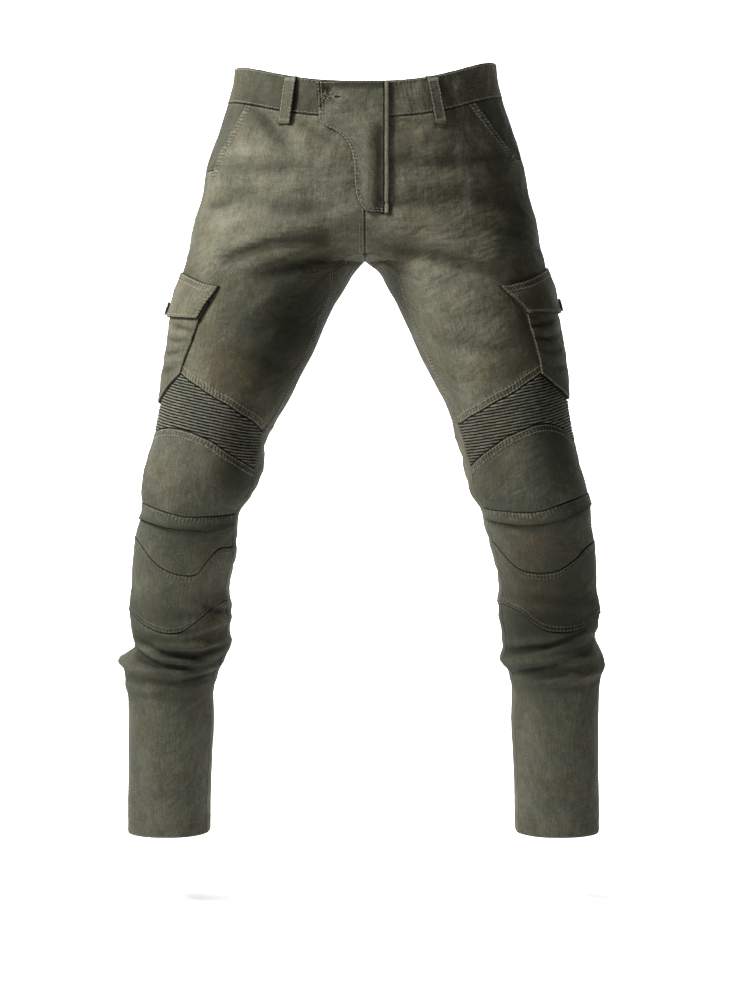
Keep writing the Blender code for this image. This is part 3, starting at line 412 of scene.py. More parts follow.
# The frayed threads at that corner: how many, their middle and spread as x and z, and the x that
# they stay right of and the z that they stay below
FRAYS = 110
FRAY_MIDDLE, FRAY_SPREAD = (-0.044, -0.036), (0.0065, 0.0055)
FRAY_START_X, FRAY_TOP_Z = -0.0535, -0.026

# Belt loops. The front ones are placed by their x at the top and the foot, the others by their
# share round the leg.
LOOP_WIDTH, LOOP_LENGTH, LOOP_CLOTH = 0.015, 0.056, 0.0022
LOOP_LIFT, LOOP_STAND = 0.0006, 0.0030
LOOP_DROP = 0.001
LOOP_ROWS, LOOP_COLUMNS = 41, 15
FRONT_LOOP_X = {"right": (0.0855, 0.0935), "left": (0.0780, 0.0890)}
SIDE_LOOP_SHARE = 0.690

# The straight grain of the front and back panels, as depths below the waist and distances out
GRAIN_LINE = ((0.00, 0.45, 0.92), (0.085, 0.180, 0.240))

# Sewing
STITCH_PITCH, STITCH_LENGTH, THREAD = 0.0042, 0.0034, 0.00042
EDGE_ROLL, EDGE_ROLL_WIDTH = 0.0006, 0.0014
# Edges with a sharper turn than this, in degrees, are shaded sharp
RIM_ANGLE = 62
SEAM_RIDGE = 0.0006
TACK_PITCH = 0.0007

# The steps of each panel's grid from one named row or column to the next. A third item names the
# row above which, and the column past which, a corner is cut away.
FRONT_COLUMNS = (("inner_seam", 44), ("pocket_edge", 24), ("outseam", 0))
POCKET_COLUMNS = (("pocket_edge", 30), ("outseam", 26), ("pocket_back", 0))
GRIDS = {
    "waistband": (
        (("waist", 18), ("waist_seam", 0)),
        (("inner_seam", 60), ("pocket_edge", 24), ("outseam", 72), ("back_seam", 0)),
    ),
    "front": (
        (("waist_seam", 30), ("slash_end", 34), ("rise_end", 62), ("ribs_top", 0)),
        (("inner_seam", 66), ("pocket_edge", 26), ("outseam", 0)),
        ("slash_end", "pocket_edge"),
    ),
    "pocket_facing": ((("waist_seam", 34), ("slash_end", 0)), (("pocket_edge", 26), ("outseam", 0))),
    "back": (
        (("waist_seam", 70), ("rise_end", 62), ("ribs_top", 118), ("hem", 0)),
        (("outseam", 66), ("back_seam", 10), ("inseam_again", 10), ("inner_seam_again", 0)),
        ("ribs_top", "back_seam"),
    ),
    "gusset": (
        (("rise_end", 74), ("ribs_top", 0)),
        (("back_seam", 12), ("inseam_again", 12), ("inner_seam_again", 0)),
    ),
    "ribbed_panel": ((("ribs_top", 30), ("knee_top", 0)), FRONT_COLUMNS),
    "knee": ((("knee_top", 46), ("knee_end", 0)), FRONT_COLUMNS),
    "knee_band": ((("knee_end", 14), ("band_end", 0)), FRONT_COLUMNS),
    "under_knee": ((("band_end", 26), ("shin_top", 0)), FRONT_COLUMNS),
    "shin": ((("shin_top", 44), ("shin_end", 0)), FRONT_COLUMNS),
    "lower_front": ((("shin_end", 70), ("calf_line", 30), ("hem", 0)), FRONT_COLUMNS),
    "cargo_pocket": ((("pocket_start", 12), ("flap_end", 52), ("ribs_top", 0)), POCKET_COLUMNS),
    "cargo_flap": ((("flap_top", 30), ("flap_end", 0)), POCKET_COLUMNS),
}
# Strips stitched down along an edge: edge, width, how strongly they pucker and how high they stand
BANDS = {
    "waistband": (("top", 0.0050, 0.55, 0.5), ("bottom", 0.0050, 0.45, 0.5)),
    "front": (("slash", 0.0095, 0.85, 1.0), ("bottom", 0.0110, 1.0, 1.0), ("left", 0.0050, 0.30, 0.6)),
    "back": (("left", 0.0055, 0.40, 0.7),),
    "gusset": (("right", 0.0045, 0.4, 0.6),),
    "knee": (("top", 0.0100, 0.95, 1.0),),
    "knee_band": (("top", 0.0070, 0.85, 0.6),),
    "shin": (("top", 0.0075, 0.70, 1.0), ("bottom", 0.0075, 0.60, 1.0)),
    "cargo_pocket": (("left", 0.0030, 0.25, 0.3),),
    "cargo_flap": (
        ("top", 0.0100, 0.8, 0.6), ("left", 0.0055, 0.8, 0.6), ("bottom", 0.0055, 0.6, 0.6),
        ("right", 0.0055, 0.6, 0.6),
    ),
    "fly_flap": (("left", 0.0060, 0.85, 1.0), ("top", 0.0050, 0.5, 0.5), ("bottom", 0.0050, 0.7, 0.6)),
    "belt_loop": (("left", 0.0035, 0.6, 0.5), ("right", 0.0035, 0.6, 0.5)),
}
# Rows of stitches: edge, distance from it, and the shares of its length where they start and end
STITCH_ROWS = {
    "waistband": (("top", 0.0026, 0, 1), ("bottom", 0.0026, 0, 1)),
    "front": (
        ("slash", 0.0018, 0.02, 0.98), ("slash", 0.0082, 0.02, 0.98), ("bottom", 0.0022, 0, 1),
        ("bottom", 0.0090, 0, 1),
    ),
    "back": (("left", 0.0022, 0, 1), ("bottom", HEM_DEPTH, 0, 1)),
    "gusset": (("left", 0.0022, 0.06, 1), ("right", 0.0022, 0.06, 1)),
    "knee": (("top", 0.0022, 0, 1), ("top", 0.0085, 0, 1)),
    "knee_band": (("top", 0.0022, 0.55, 1),),
    "shin": (
        ("top", 0.0020, 0, 1), ("top", 0.0070, 0, 1), ("bottom", 0.0020, 0, 1), ("bottom", 0.0070, 0, 1),
    ),
    "lower_front": (("bottom", HEM_DEPTH, 0, 1),),
    "cargo_pocket": (("left", 0.0022, 0.2, 1), ("bottom", 0.0022, 0, 1), ("right", 0.0022, 0.2, 1)),
    "cargo_flap": (
        ("top", 0.0022, 0.02, 0.98), ("top", 0.0090, 0.02, 0.98), ("left", 0.0040, 0.02, 0.98),
        ("bottom", 0.0040, 0.02, 0.98), ("right", 0.0040, 0.02, 0.98),
    ),
    "fly_flap": (
        ("left", 0.0022, 0, 0.98), ("left", 0.0058, 0, 0.98), ("top", 0.0022, 0, 1),
        ("bottom", 0.0026, 0, 1), ("bottom", 0.0056, 0, 1),
    ),
    "belt_loop": (("left", 0.0024, 0.04, 0.96), ("right", 0.0024, 0.04, 0.96)),
}

# Colours, as linear red, green and blue
OLIVE = (0.044, 0.044, 0.029)
OLIVE_FADED = (0.140, 0.134, 0.098)
# The dark tone that painted shade and the dark seam lines mix towards
OLIVE_DARK = (0.008, 0.009, 0.006)
THREAD_COLOUR = (0.205, 0.198, 0.148)
GUNMETAL = (0.060, 0.058, 0.055)
# The other tones of twill: base, faded and dark colour, and how far it has faded
TWILLS = (
    ("olive_twill_legs", (0.040, 0.041, 0.028), (0.115, 0.113, 0.085), OLIVE_DARK, 0.45),
    ("olive_twill_dim", (0.034, 0.035, 0.024), (0.095, 0.094, 0.070), OLIVE_DARK, 0.35),
    # The ribs' nearly black dark tone is painted shade in the grooves between the ribs
    ("olive_twill_ribs", (0.024, 0.025, 0.018), (0.130, 0.129, 0.100), (0.002, 0.002, 0.002), 0.15),
    # The buttonhole's slot is painted shade
    ("buttonhole_dark", (0.008, 0.008, 0.006), (0.02, 0.02, 0.015), OLIVE_DARK, 0.1),
)
# The weave's slanting lines and the puckers along a seam, as lengths along the cloth
WEAVE_PITCH, PUCKER_PITCH = 0.00125, 0.0044
# How much darker the waistband is than the front panels, all round and at its front
BAND_DARKER = 0.15
BAND_FRONT_DARKER = {"right": 0.17, "left": -0.13}

# Light, camera and floor
WORLD_LIGHT = 0.06
# Each light's name, place, aim, size across, power in watts and spread in degrees
LIGHTS = (
    ("key", (-1.59, -0.92, 1.19), (0.0, 0.0, -0.40), 0.7, 150, 180),
    ("overhead", (0.0, 1.3, 2.6), (0.0, 1.3, -1.0), 2.4, 45, 140),
    ("wall_left", (-1.3, 1.1, 2.4), (-0.8, 2.6, 0.0), 1.4, 95, 100),
    ("wall_right", (1.3, 1.1, 2.4), (0.8, 2.6, 0.0), 1.4, 100, 100),
)
CAMERA_PLACE = (0.012, -3.40, -0.30)
CAMERA_AIM = (0.012, 0.0, -0.51)
CAMERA_LENS = 102.0
BACKDROP_WIDTH, BACKDROP_HEIGHT, BACKDROP_BEND = 14.0, 5.0, 1.6
BACKDROP_FRONT, BACKDROP_BACK = -5.0, 2.6
FLOOR_Z = -1.0
FLOOR = (0.86, 0.86, 0.86)


def through(knots, values, at):
    """A smooth curve through values given at rising knots, read at some places."""
    knots, values, at = np.asarray(knots, float), np.asarray(values, float), np.asarray(at, float)
    slopes = np.gradient(values, knots)
    place = np.clip(np.searchsorted(knots, at) - 1, 0, len(knots) - 2)
    step = knots[place + 1] - knots[place]
    t = np.clip((at - knots[place]) / step, 0.0, 1.0)
    start = values[place] * (1 + 2 * t) * (1 - t) ** 2 + slopes[place] * step * t * (1 - t) ** 2
    end = values[place + 1] * t**2 * (3 - 2 * t) - slopes[place + 1] * step * t**2 * (1 - t)
    return start + end


def signed_power(value, power):
    return np.sign(value) * np.abs(value) ** power


def smooth(value):
    """Eases a number from 0 to 1."""
    value = np.clip(value, 0, 1)
    return value * value * (3 - 2 * value)


def section(leg, z):
    """A leg's ring at a height: middle x, half width, middle y, front and back depth, half sweep."""
    outer = np.hypot(through(RINGS["z"], RINGS[leg + "_outer"], z), SADDLE)
    inseam = through(RINGS["z"], RINGS[leg + "_inner"], z)
    inner = np.where(inseam > 0, np.hypot(inseam, SADDLE), SADDLE + inseam)
    middle, half = (outer + inner) / 2, (outer - inner) / 2
    edge = signed_power(np.clip((SADDLE - middle) / half, -1, 1), ROUNDNESS / 2)
    sweep = np.where(inseam > 0, math.pi, np.arccos(np.clip(edge, -1, 1)))
    centre, front, back = (through(RINGS["z"], RINGS[name], z) for name in ("centre", "front", "back"))
    return middle, half, centre, front, back, sweep


def share_at(leg, x, z):
    """The share round the leg of the point of its front at distance x from the middle."""
    middle, half, _, _, _, sweep = section(leg, z)
    across = np.clip((np.hypot(x, SADDLE) - middle) / half, -1, 1)
    angle = np.arccos(signed_power(across, ROUNDNESS / 2))
    return (sweep - angle) / (2 * sweep)


def facing_way(face, turn):
    """How squarely a place at an angle from the outseam looks the way of a face, from -1 to 1."""
    if face in ("front", "back"):
        return np.sin(turn) if face == "back" else -np.sin(turn)
    return np.cos(turn) if face == "outer" else -np.cos(turn)


def fold_height(leg, x, y, z, turn, folds):
    """How far the folds move the cloth outwards at a place. Turn is the angle from the outseam."""
    height = np.zeros_like(z)
    for (side, face), rows in folds.items():
        if side != leg:
            continue
        facing = np.clip(facing_way(face, turn) / 0.5, 0, 1)
        level = x if face in ("front", "back") else y
        for x0, z0, x1, z1, width, size in np.array(rows) * MM:
            run_x, run_z = x1 - x0, z1 - z0
            along = ((level - x0) * run_x + (z - z0) * run_z) / (run_x**2 + run_z**2)
            near = np.clip(along, 0, 1)
            away = np.hypot(level - x0 - near * run_x, z - z0 - near * run_z)
            fade = np.clip(1.15 - np.abs(2 * along - 1) * 0.55, 0, 1)
            height += size * fade * facing * np.exp(-((away / width) ** 2))
    return height


def roll_height(leg, z, turn):
    """How far the rolls at the calf move the cloth outwards."""
    height = np.zeros_like(z)
    for row in ROLLS:
        roll = dict(zip(ROLL_COLUMNS, row))
        if roll["leg"] != leg:
            continue
        beside = 1 - np.clip(-np.sin(turn), 0, 1)
        level = roll["z"] - roll["tilt"] * np.cos(turn) + roll["sag"] * beside
        fullness = 0.6 + 0.4 * np.cos(turn - (roll["fullest"] - 0.5) * math.tau)
        height += roll["height"] * fullness * np.exp(-(((z - level) / roll["width"]) ** 2))
    return height


def ripple_height(share, z, girth):
    """Slow uneven waves all over the cloth."""
    run = share * girth
    height = np.zeros_like(z)
    for across, down, turn, size in RIPPLES:
        sway = 1.3 * np.sin(math.tau * z / down + turn * 2)
        height += size * np.sin(math.tau * run / across + turn + sway)
    return height


def surface(leg, share, z, fine=True):
    """Points of the garment's outer face at a share round the leg and a height."""
    share, z = np.broadcast_arrays(np.asarray(share, float), np.asarray(z, float))
    middle, half, centre, front, back, sweep = section(leg, z)
    turn = (2 * share - 1) * sweep
    cos, sin = signed_power(np.cos(turn), 2 / ROUNDNESS), signed_power(np.sin(turn), 2 / ROUNDNESS)
    depth = np.where(turn < 0, front, back)
    x_ring, y = middle + half * cos, centre + depth * sin
    x = np.sqrt(np.maximum(x_ring**2 - SADDLE**2, 0))
    out_x, out_y = np.cos(turn) / half, np.sin(turn) / depth
    length = np.hypot(out_x, out_y)
    height = fold_height(leg, x, y, z, turn, FOLDS) + roll_height(leg, z, turn)
    if fine:
        height += fold_height(leg, x, y, z, turn, FINE_FOLDS) + ripple_height(share, z, 4 * half)
    centred = np.clip(x / 0.01, 0, 1)
    x = x + height * centred * out_x / length
    y = y + height * out_y / length
    return np.stack([LEGS[leg] * x, y, z], axis=-1)


def deepness(leg, share, z):
    """How deep in a fold the cloth lies, from -1 on a ridge to 1 in a trough; the shader paints light on
    ridges and shade in troughs from it.
    """
    *_, sweep = section(leg, z)
    turn = (2 * share - 1) * sweep
    plain = surface(leg, share, z, fine=False)
    x, y = np.abs(plain[..., 0]), plain[..., 1]
    folds = fold_height(leg, x, y, z, turn, FOLDS) + 1.5 * fold_height(leg, x, y, z, turn, FINE_FOLDS)
    rolls = roll_height(leg, z, turn)
    around = smooth((-0.60 - z) / 0.03) * smooth((z + 0.745) / 0.02)
    return np.clip(-folds / 0.004 + around * (0.0022 - rolls) / 0.0035, -1, 1)


def patches(leg, share, z, table):
    """How much the slow patches of a table change the cloth."""
    *_, sweep = section(leg, z)
    turn = (2 * share - 1) * sweep
    x = np.abs(surface(leg, share, z, fine=False)[..., 0])
    total = np.zeros_like(z)
    for (side, face), rows in table.items():
        if side != leg:
            continue
        facing = smooth(facing_way(face, turn) / 0.4 + 0.5)
        for *place_and_size, amount in rows:
            middle_x, middle_z, wide, tall = np.array(place_and_size) * MM
            away = ((x - middle_x) / wide) ** 2 + ((z - middle_z) / tall) ** 2
            total += amount * facing * np.exp(-away)
    return total


def waist_z(leg, share):
    """The waistband's upper edge, dipping at the front."""
    side = np.abs(np.sin((2 * share - 1) * math.pi / 2)) ** WAIST_DIP_POWER
    low = np.where(share < 0.5, WAIST_FRONT_Z, WAIST_BACK_Z)
    return WAIST_SIDE_Z[leg] + (low - WAIST_SIDE_Z[leg]) * side


def seam_z(leg, name, share):
    """The height of a seam that runs round the leg, at a share round it."""
    if name == "waist":
        return waist_z(leg, share)
    if name == "waist_seam":
        return waist_z(leg, share) - WAISTBAND_HEIGHT
    if name == "pocket_start":
        return (seam_z(leg, "flap_top", share) + seam_z(leg, "flap_end", share)) / 2
    seam = LEVEL_SEAMS[name]
    xs, zs = np.array(seam[leg]).T
    shares = share_at(leg, xs, zs)
    knots = [-0.25, *shares, 0.54, 0.77, 1.0 + shares[0], 1.25]
    heights = [seam["back"], *zs, zs[-1], seam["back"], zs[0], zs[1]]
    share = np.mod(share, 1.0 + 1e-9)
    if shares[0] > 0.02:
        knots[0], heights[0] = shares[0] - 0.3, seam["back"]
    if name in BENT_SEAMS:
        return np.interp(share, knots, heights)
    return through(knots, heights, share)


def eased(steps):
    """Places from 0 to 1, closer together near both ends."""
    even = np.linspace(0, 1, steps + 1)
    return even * 0.45 + (0.5 - 0.5 * np.cos(even * math.pi)) * 0.55


def plan(spans):
    """The lines of a grid: for each, the names before and after it and its share of the way."""
    marks, lines = {}, []
    for (name, steps), (following, _) in zip(spans, spans[1:]):
        marks[name] = len(lines)
        lines += [(name, following, part) for part in eased(steps)[:-1]]
    last = spans[-1][0]
    marks[last] = len(lines)
    lines.append((last, last, 0.0))
    return marks, lines


def leg_grid(leg, rows, columns):
    """Shares and heights of a fine grid between named rows and columns, with its named lines."""
    row_marks, row_lines = plan(rows)
    column_marks, column_lines = plan(columns)
    mixes = np.array([
        np.array(COLUMN_MIX[a]) * (1 - t) + np.array(COLUMN_MIX[b]) * t for a, b, t in column_lines
    ])
    wrapped = np.array([a in WRAPPED and (a, t) != ("inseam_again", 0.0) for a, _, t in column_lines])
    from_inseam = np.array([
        {"back_seam": 1 - t, "inseam_again": t}.get(a, 1.0) for a, _, t in column_lines
    ])
    saddle_z = CROTCH_Z + (FRONT_RISE_END_Z - CROTCH_Z) * from_inseam**2
    seam_knots, seam_shares = np.array(INNER_SEAM[::-1]).T
    edge_x, edge_z = np.array(POCKET_EDGE[leg][::-1]).T
    edge_shares = share_at(leg, edge_x, edge_z)
    part = np.array([t for _, _, t in row_lines])[:, None]
    on_rise = np.array([(a, t) == ("rise_end", 0.0) for a, _, t in row_lines])[:, None]
    share = np.tile(mixes @ np.array((0.05, 0.36, 1.0)), (len(row_lines), 1))
    share[:, wrapped] -= 1
    for _ in range(8):
        z = np.zeros_like(share)
        for name, _ in rows:
            for weight, place in ((1 - part, 0), (part, 1)):
                used = np.array([line[place] == name for line in row_lines])
                if used.any():
                    level = seam_z(leg, name, share[used])
                    if name == "rise_end" and place == 0:
                        level = np.where(from_inseam < 1, saddle_z, level)
                    z[used] += weight[used] * level
        inner = np.where(on_rise, 0.0, np.interp(z, seam_knots, seam_shares))
        pocket = np.interp(z, edge_z, edge_shares)
        share = mixes[:, 0] * inner + mixes[:, 1] * pocket + mixes[:, 2] - wrapped
    return share, z, row_marks, column_marks


def unit(vectors):
    return vectors / np.maximum(np.linalg.norm(vectors, axis=-1, keepdims=True), 1e-12)


def net_normals(points, sign):
    """Normals of a net of points, level on the garment's middle."""
    normals = np.cross(np.gradient(points, axis=1), np.gradient(points, axis=0)) * -sign
    normals[..., 0] = np.where(np.abs(points[..., 0]) < 1e-6, 0.0, normals[..., 0])
    return unit(normals)


def arcs(points):
    """Distances along each row from its first point, and down each column."""
    across = np.linalg.norm(np.diff(points, axis=1), axis=-1)
    down = np.linalg.norm(np.diff(points, axis=0), axis=-1)
    across = np.pad(np.cumsum(across, axis=1), ((0, 0), (1, 0)))
    return across, np.pad(np.cumsum(down, axis=0), ((1, 0), (0, 0)))


class Panel:
    """A piece of cloth over a net of points: its wall, its seams and the marks of wear along them."""

    def __init__(self, name, leg, points, cells=None):
        self.name, self.points, self.sign = name, points, LEGS[leg]
        self.normals = net_normals(points, self.sign)
        self.across, self.down = arcs(points)
        self.shape = rows, columns = points.shape[:2]
        self.cells = np.ones((rows - 1, columns - 1), bool) if cells is None else cells
        self.marks = {}
        self.bands = []
        self.depth = np.full(self.shape, CLOTH)
        self.lift, self.deep, self.worn, self.brown = np.zeros((4, *self.shape))
        self.cut_across, self.long_grain = False, False

    def edge_gap(self, edge):
        """Each point's distance from an edge and its place along it."""
        column = self.marks.get("slash_column")
        row = self.marks.get("slash_row")
        far = np.full(self.shape, 1.0)
        if edge == "top":
            gap, run = self.down, np.broadcast_to(self.across[:1], self.shape)
        elif edge == "bottom":
            gap, run = self.down[-1:] - self.down, np.broadcast_to(self.across[-1:], self.shape)
        elif edge == "left":
            gap, run = self.across, np.broadcast_to(self.down[:, :1], self.shape)
        elif edge == "right":
            gap, run = self.across[:, -1:] - self.across, np.broadcast_to(self.down[:, -1:], self.shape)
        elif edge == "slash":
            gap, run = far, np.broadcast_to(self.down[:, column:column + 1], self.shape)
            beside = self.across[:, column:column + 1] - self.across
            gap[:row + 1, :column + 1] = beside[:row + 1, :column + 1]
            below = np.linalg.norm(self.points - self.points[row, column], axis=-1)
            gap = np.minimum(gap, np.where(np.arange(self.shape[0])[:, None] > row, below, 1.0))
        else:
            gap, run = far, np.broadcast_to(self.across[row:row + 1], self.shape)
            gap[row:, column:] = (self.down - self.down[row])[row:, column:]
        return gap, run

    def nearest_edge(self):
        """Each point's distance from the nearest edge."""
        edges = ["left", "bottom"]
        edges += ["slash", "step"] if "slash_column" in self.marks else ["top", "right"]
        gap = np.min([self.edge_gap(edge)[0] for edge in edges], axis=0)
        if "slash_column" in self.marks:
            row, column = self.marks["slash_row"], self.marks["slash_column"]
            gap[:, :column] = np.minimum(gap, self.down)[:, :column]
            gap[row:] = np.minimum(gap, self.edge_gap("right")[0])[row:]
        return gap

    def band(self, edge, width, strength, ridge=1.0):
        """A stitched-down strip along an edge, raised by the cloth folded under it and puckered."""
        self.bands.append((edge, width, strength))
        gap, _ = self.edge_gap(edge)
        self.lift += SEAM_RIDGE * ridge * smooth((width - gap) / 0.0025) * smooth(gap / 0.0015)

    def pucker(self):
        """The strength of the puckering at each point, and its place along the seam."""
        strength, run, nearest = np.zeros(self.shape), np.zeros(self.shape), np.full(self.shape, 9.0)
        for edge, width, amount in self.bands:
            gap, along = self.edge_gap(edge)
            closer = gap / width < nearest
            nearest = np.where(closer, gap / width, nearest)
            here = amount * smooth((1.25 - gap / width) / 0.45)
            strength = np.where(closer, here, strength)
            run = np.where(closer, along + (0.5 if edge in ("top", "right") else 0.0), run)
        return strength, run

    def face(self):
        """The outer face's points."""
        return self.points + self.normals * self.lift[..., None]

    def line(self, edge, offset, first=0.0, last=1.0):
        """Points and normals on the outer face at a distance from an edge."""
        face, gap = self.face(), self.edge_gap(edge)[0]
        if edge in ("top", "bottom"):
            lanes = [np.s_[:, i] for i in range(self.shape[1])]
        elif edge == "slash":
            row, column = self.marks["slash_row"], self.marks["slash_column"] + 1
            lanes = [np.s_[j, :column] for j in range(row + 1)]
        else:
            lanes = [np.s_[j] for j in range(self.shape[0])]
        found = [self.read(face[lane], self.normals[lane], gap[lane], offset) for lane in lanes]
        start, end = int(first * (len(found) - 1)), int(round(last * (len(found) - 1)))
        points, normals = zip(*found[start:end + 1])
        return np.array(points), np.array(normals)

    @staticmethod
    def read(points, normals, gap, offset):
        """The point and normal where the gap equals the offset."""
        order = np.argsort(gap)
        point = np.array([np.interp(offset, gap[order], points[order, k]) for k in range(3)])
        normal = np.array([np.interp(offset, gap[order], normals[order, k]) for k in range(3)])
        return point, normal / np.linalg.norm(normal)

    def drawn_in(self):
        """The points, with those on a rim drawn half a seam gap into the piece."""
        kept = np.pad(self.cells, 1)
        right = kept[1:, 1:] | kept[:-1, 1:]
        left = kept[1:, :-1] | kept[:-1, :-1]
        below = kept[1:, 1:] | kept[1:, :-1]
        above = kept[:-1, 1:] | kept[:-1, :-1]
        side = right.astype(float) - left
        level = below.astype(float) - above
        way_across = unit(np.gradient(self.points, axis=1))
        way_down = unit(np.gradient(self.points, axis=0))
        inwards = way_across * side[..., None] + way_down * level[..., None]
        return self.points + inwards * (SEAM_GAP / 2)

    def grain_start(self):
        """Where the straight grain line crosses each row, as a distance along it."""
        if not self.long_grain:
            return self.across[:, self.shape[1] // 2:][:, :1]
        out, height = np.abs(self.points[..., 0]), self.points[..., 2]
        way = 1 if out[0, 0] < out[0, -1] else -1
        start = []
        for row in range(self.shape[0]):
            line = np.interp(-height[row].mean(), *GRAIN_LINE)
            reach = np.maximum.accumulate(out[row, ::way])
            start.append(np.interp(line, reach, self.across[row, ::way]))
        return np.array(start)[:, None]

    def build(self, finish):
        """Makes the wall's mesh, with its marks as attributes."""
        gap = self.nearest_edge()
        lift = self.lift - EDGE_ROLL * np.exp(-gap / EDGE_ROLL_WIDTH)
        outer = self.drawn_in() + self.normals * lift[..., None]
        inner = self.points - self.normals * self.depth[..., None]
        pucker, run = self.pucker()
        across = self.across - self.grain_start()
        grain = (self.down, across) if self.cut_across else (across, self.down)
        cloth = np.stack([*grain, across * 0], -1)
        marks = {"cloth": cloth, "pucker": pucker, "run": run, "edge": gap}
        marks |= {"deep": self.deep, "worn": self.worn, "brown": self.brown}
        return wall(self.name + "_cloth", outer, inner, self.cells, self.sign, marks, finish)


def mesh_object(name, points, faces, finish, smoothed=True):
    """A new object in the scene, from points and faces, with one material."""
    mesh = bpy.data.meshes.new(name)
    mesh.from_pydata(points.tolist(), [], faces)
    mesh.validate()
    if smoothed:
        mesh.shade_smooth()
    mesh.materials.append(finish)
    item = bpy.data.objects.new(name, mesh)
    bpy.context.scene.collection.objects.link(item)
    return item


def face_outwards(item):
    """Turns the faces of a closed mesh outwards."""
    work = bmesh.new()
    work.from_mesh(item.data)
    bmesh.ops.recalc_face_normals(work, faces=work.faces)
    work.to_mesh(item.data)
    work.free()


def wall(name, outer, inner, cells, sign, marks, finish):
    """A closed wall between two nets of points, over the cells that are there."""
    rows, columns = outer.shape[:2]
    used = np.zeros((rows, columns), bool)
    for down in (0, 1):
        for over in (0, 1):
            used[down:rows - 1 + down, over:columns - 1 + over] |= cells
    ids = np.full((rows, columns), -1)
    count = int(used.sum())
    ids[used] = np.arange(count)
    j, i = np.nonzero(cells)
    corners = [ids[j, i], ids[j + 1, i], ids[j + 1, i + 1], ids[j, i + 1]]
    if sign < 0:
        corners = corners[::-1]
    quads = np.stack(corners, axis=-1)
    padded = np.pad(cells, 1)
    # The cell beside each side of a cell, and the two ends of that side
    sides = (
        ((0, -1), (0, 0), (1, 0)), ((1, 0), (1, 0), (1, 1)),
        ((0, 1), (1, 1), (0, 1)), ((-1, 0), (0, 1), (0, 0)),
    )
    rim = []
    for (down, over), (aj, ai), (bj, bi) in sides:
        bare = ~padded[j + 1 + down, i + 1 + over]
        a, b = ids[j[bare] + aj, i[bare] + ai], ids[j[bare] + bj, i[bare] + bi]
        if sign < 0:
            a, b = b, a
        rim.append(np.stack([b, a, a + count, b + count], axis=-1))
    faces = np.concatenate([quads, quads[:, ::-1] + count, *rim])
    item = mesh_object(name, np.concatenate([outer[used], inner[used]]), faces.tolist(), finish)
    for mark, values in marks.items():
        both = np.concatenate([values[used], values[used]]).astype(np.float32)
        kind, field = ("FLOAT_VECTOR", "vector") if both.ndim == 2 else ("FLOAT", "value")
        item.data.attributes.new(mark, kind, "POINT").data.foreach_set(field, both.ravel())
    item.data.set_sharp_from_angle(angle=math.radians(RIM_ANGLE))
    return item


class Stitches:
    """Many small stitches, joined into one mesh."""

    SIDES = 5
    # Place along the stitch, its height over the cloth and its thickness, as shares
    PROFILE = ((-0.50, -0.6, 0.45), (-0.36, 0.35, 1.0), (0.36, 0.35, 1.0), (0.50, -0.6, 0.45))

    def __init__(self, name):
        self.name = name
        self.points, self.faces = [], []
        self.count = 0

    def add(self, centres, along, normals, length=STITCH_LENGTH, thick=THREAD):
        """Stitches at some points, each lying along a direction on a face with a normal."""
        along, normals = unit(along), unit(normals)
        aside = unit(np.cross(normals, along))
        normals = np.cross(along, aside)
        turns = np.arange(self.SIDES) / self.SIDES * math.tau
        rings = []
        for place, height, girth in self.PROFILE:
            middle = centres + along * (place * length) + normals * (height * thick)
            ways = [aside * math.cos(t) + normals * math.sin(t) * 0.8 for t in turns]
            rings.append(np.stack([middle + way * (girth * thick) for way in ways], axis=1))
        block = np.stack(rings, axis=1)
        stitches, size = len(centres), len(self.PROFILE) * self.SIDES
        faces = []
        for ring in range(len(self.PROFILE) - 1):
            for side in range(self.SIDES):
                a, b = ring * self.SIDES + side, ring * self.SIDES + (side + 1) % self.SIDES
                faces.append((a, b, b + self.SIDES, a + self.SIDES))
        starts = self.count + np.arange(stitches) * size
        self.points.append(block.reshape(-1, 3))
        self.faces.append((starts[:, None, None] + np.array(faces)[None]).reshape(-1, 4).tolist())
        last = size - self.SIDES
        for cap in (range(self.SIDES - 1, -1, -1), range(last, size)):
            self.faces.append((starts[:, None] + np.array(list(cap))[None]).tolist())
        self.count += stitches * size

    def row(self, points, normals):
        """A row of stitches along a line on the cloth."""
        steps = np.linalg.norm(np.diff(points, axis=0), axis=1)
        run = np.concatenate([[0], np.cumsum(steps)])
        number = max(int(run[-1] / STITCH_PITCH), 1)
        middles = (np.arange(number) + 0.5) * run[-1] / number
        wander = np.sin(middles * 431.0) * 0.00012

        def read(values, at):
            return np.stack([np.interp(at, run, values[:, k]) for k in range(3)], axis=-1)

        facing = read(normals, middles)
        along = read(points, middles + 0.001) - read(points, middles - 0.001)
        aside = unit(np.cross(facing, along))
        self.add(read(points, middles) + aside * wander[:, None], along, facing)

    def bartack(self, centre, along, normal, width, length=0.004):
        """A dense bar of stitches that lie side by side."""
        number = max(int(width / TACK_PITCH), 2)
        aside = unit(np.cross(normal, along))
        spread = (np.arange(number) / (number - 1) - 0.5) * width
        centres = centre + aside * spread[:, None]
        slant = np.tile(unit(along + aside * 0.12), (number, 1))
        self.add(centres, slant, np.tile(normal, (number, 1)), length, THREAD * 0.8)

    def build(self, finish):
        faces = [face for block in self.faces for face in block]
        item = mesh_object(self.name, np.concatenate(self.points), faces, finish)
        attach(item, "root")


def socket(group, name, kind, way, value=None):
    """Adds a named input or output to a node group."""
    made = group.interface.new_socket(name=name, in_out=way, socket_type=kind)
    if value is not None:
        made.default_value = value
    return made


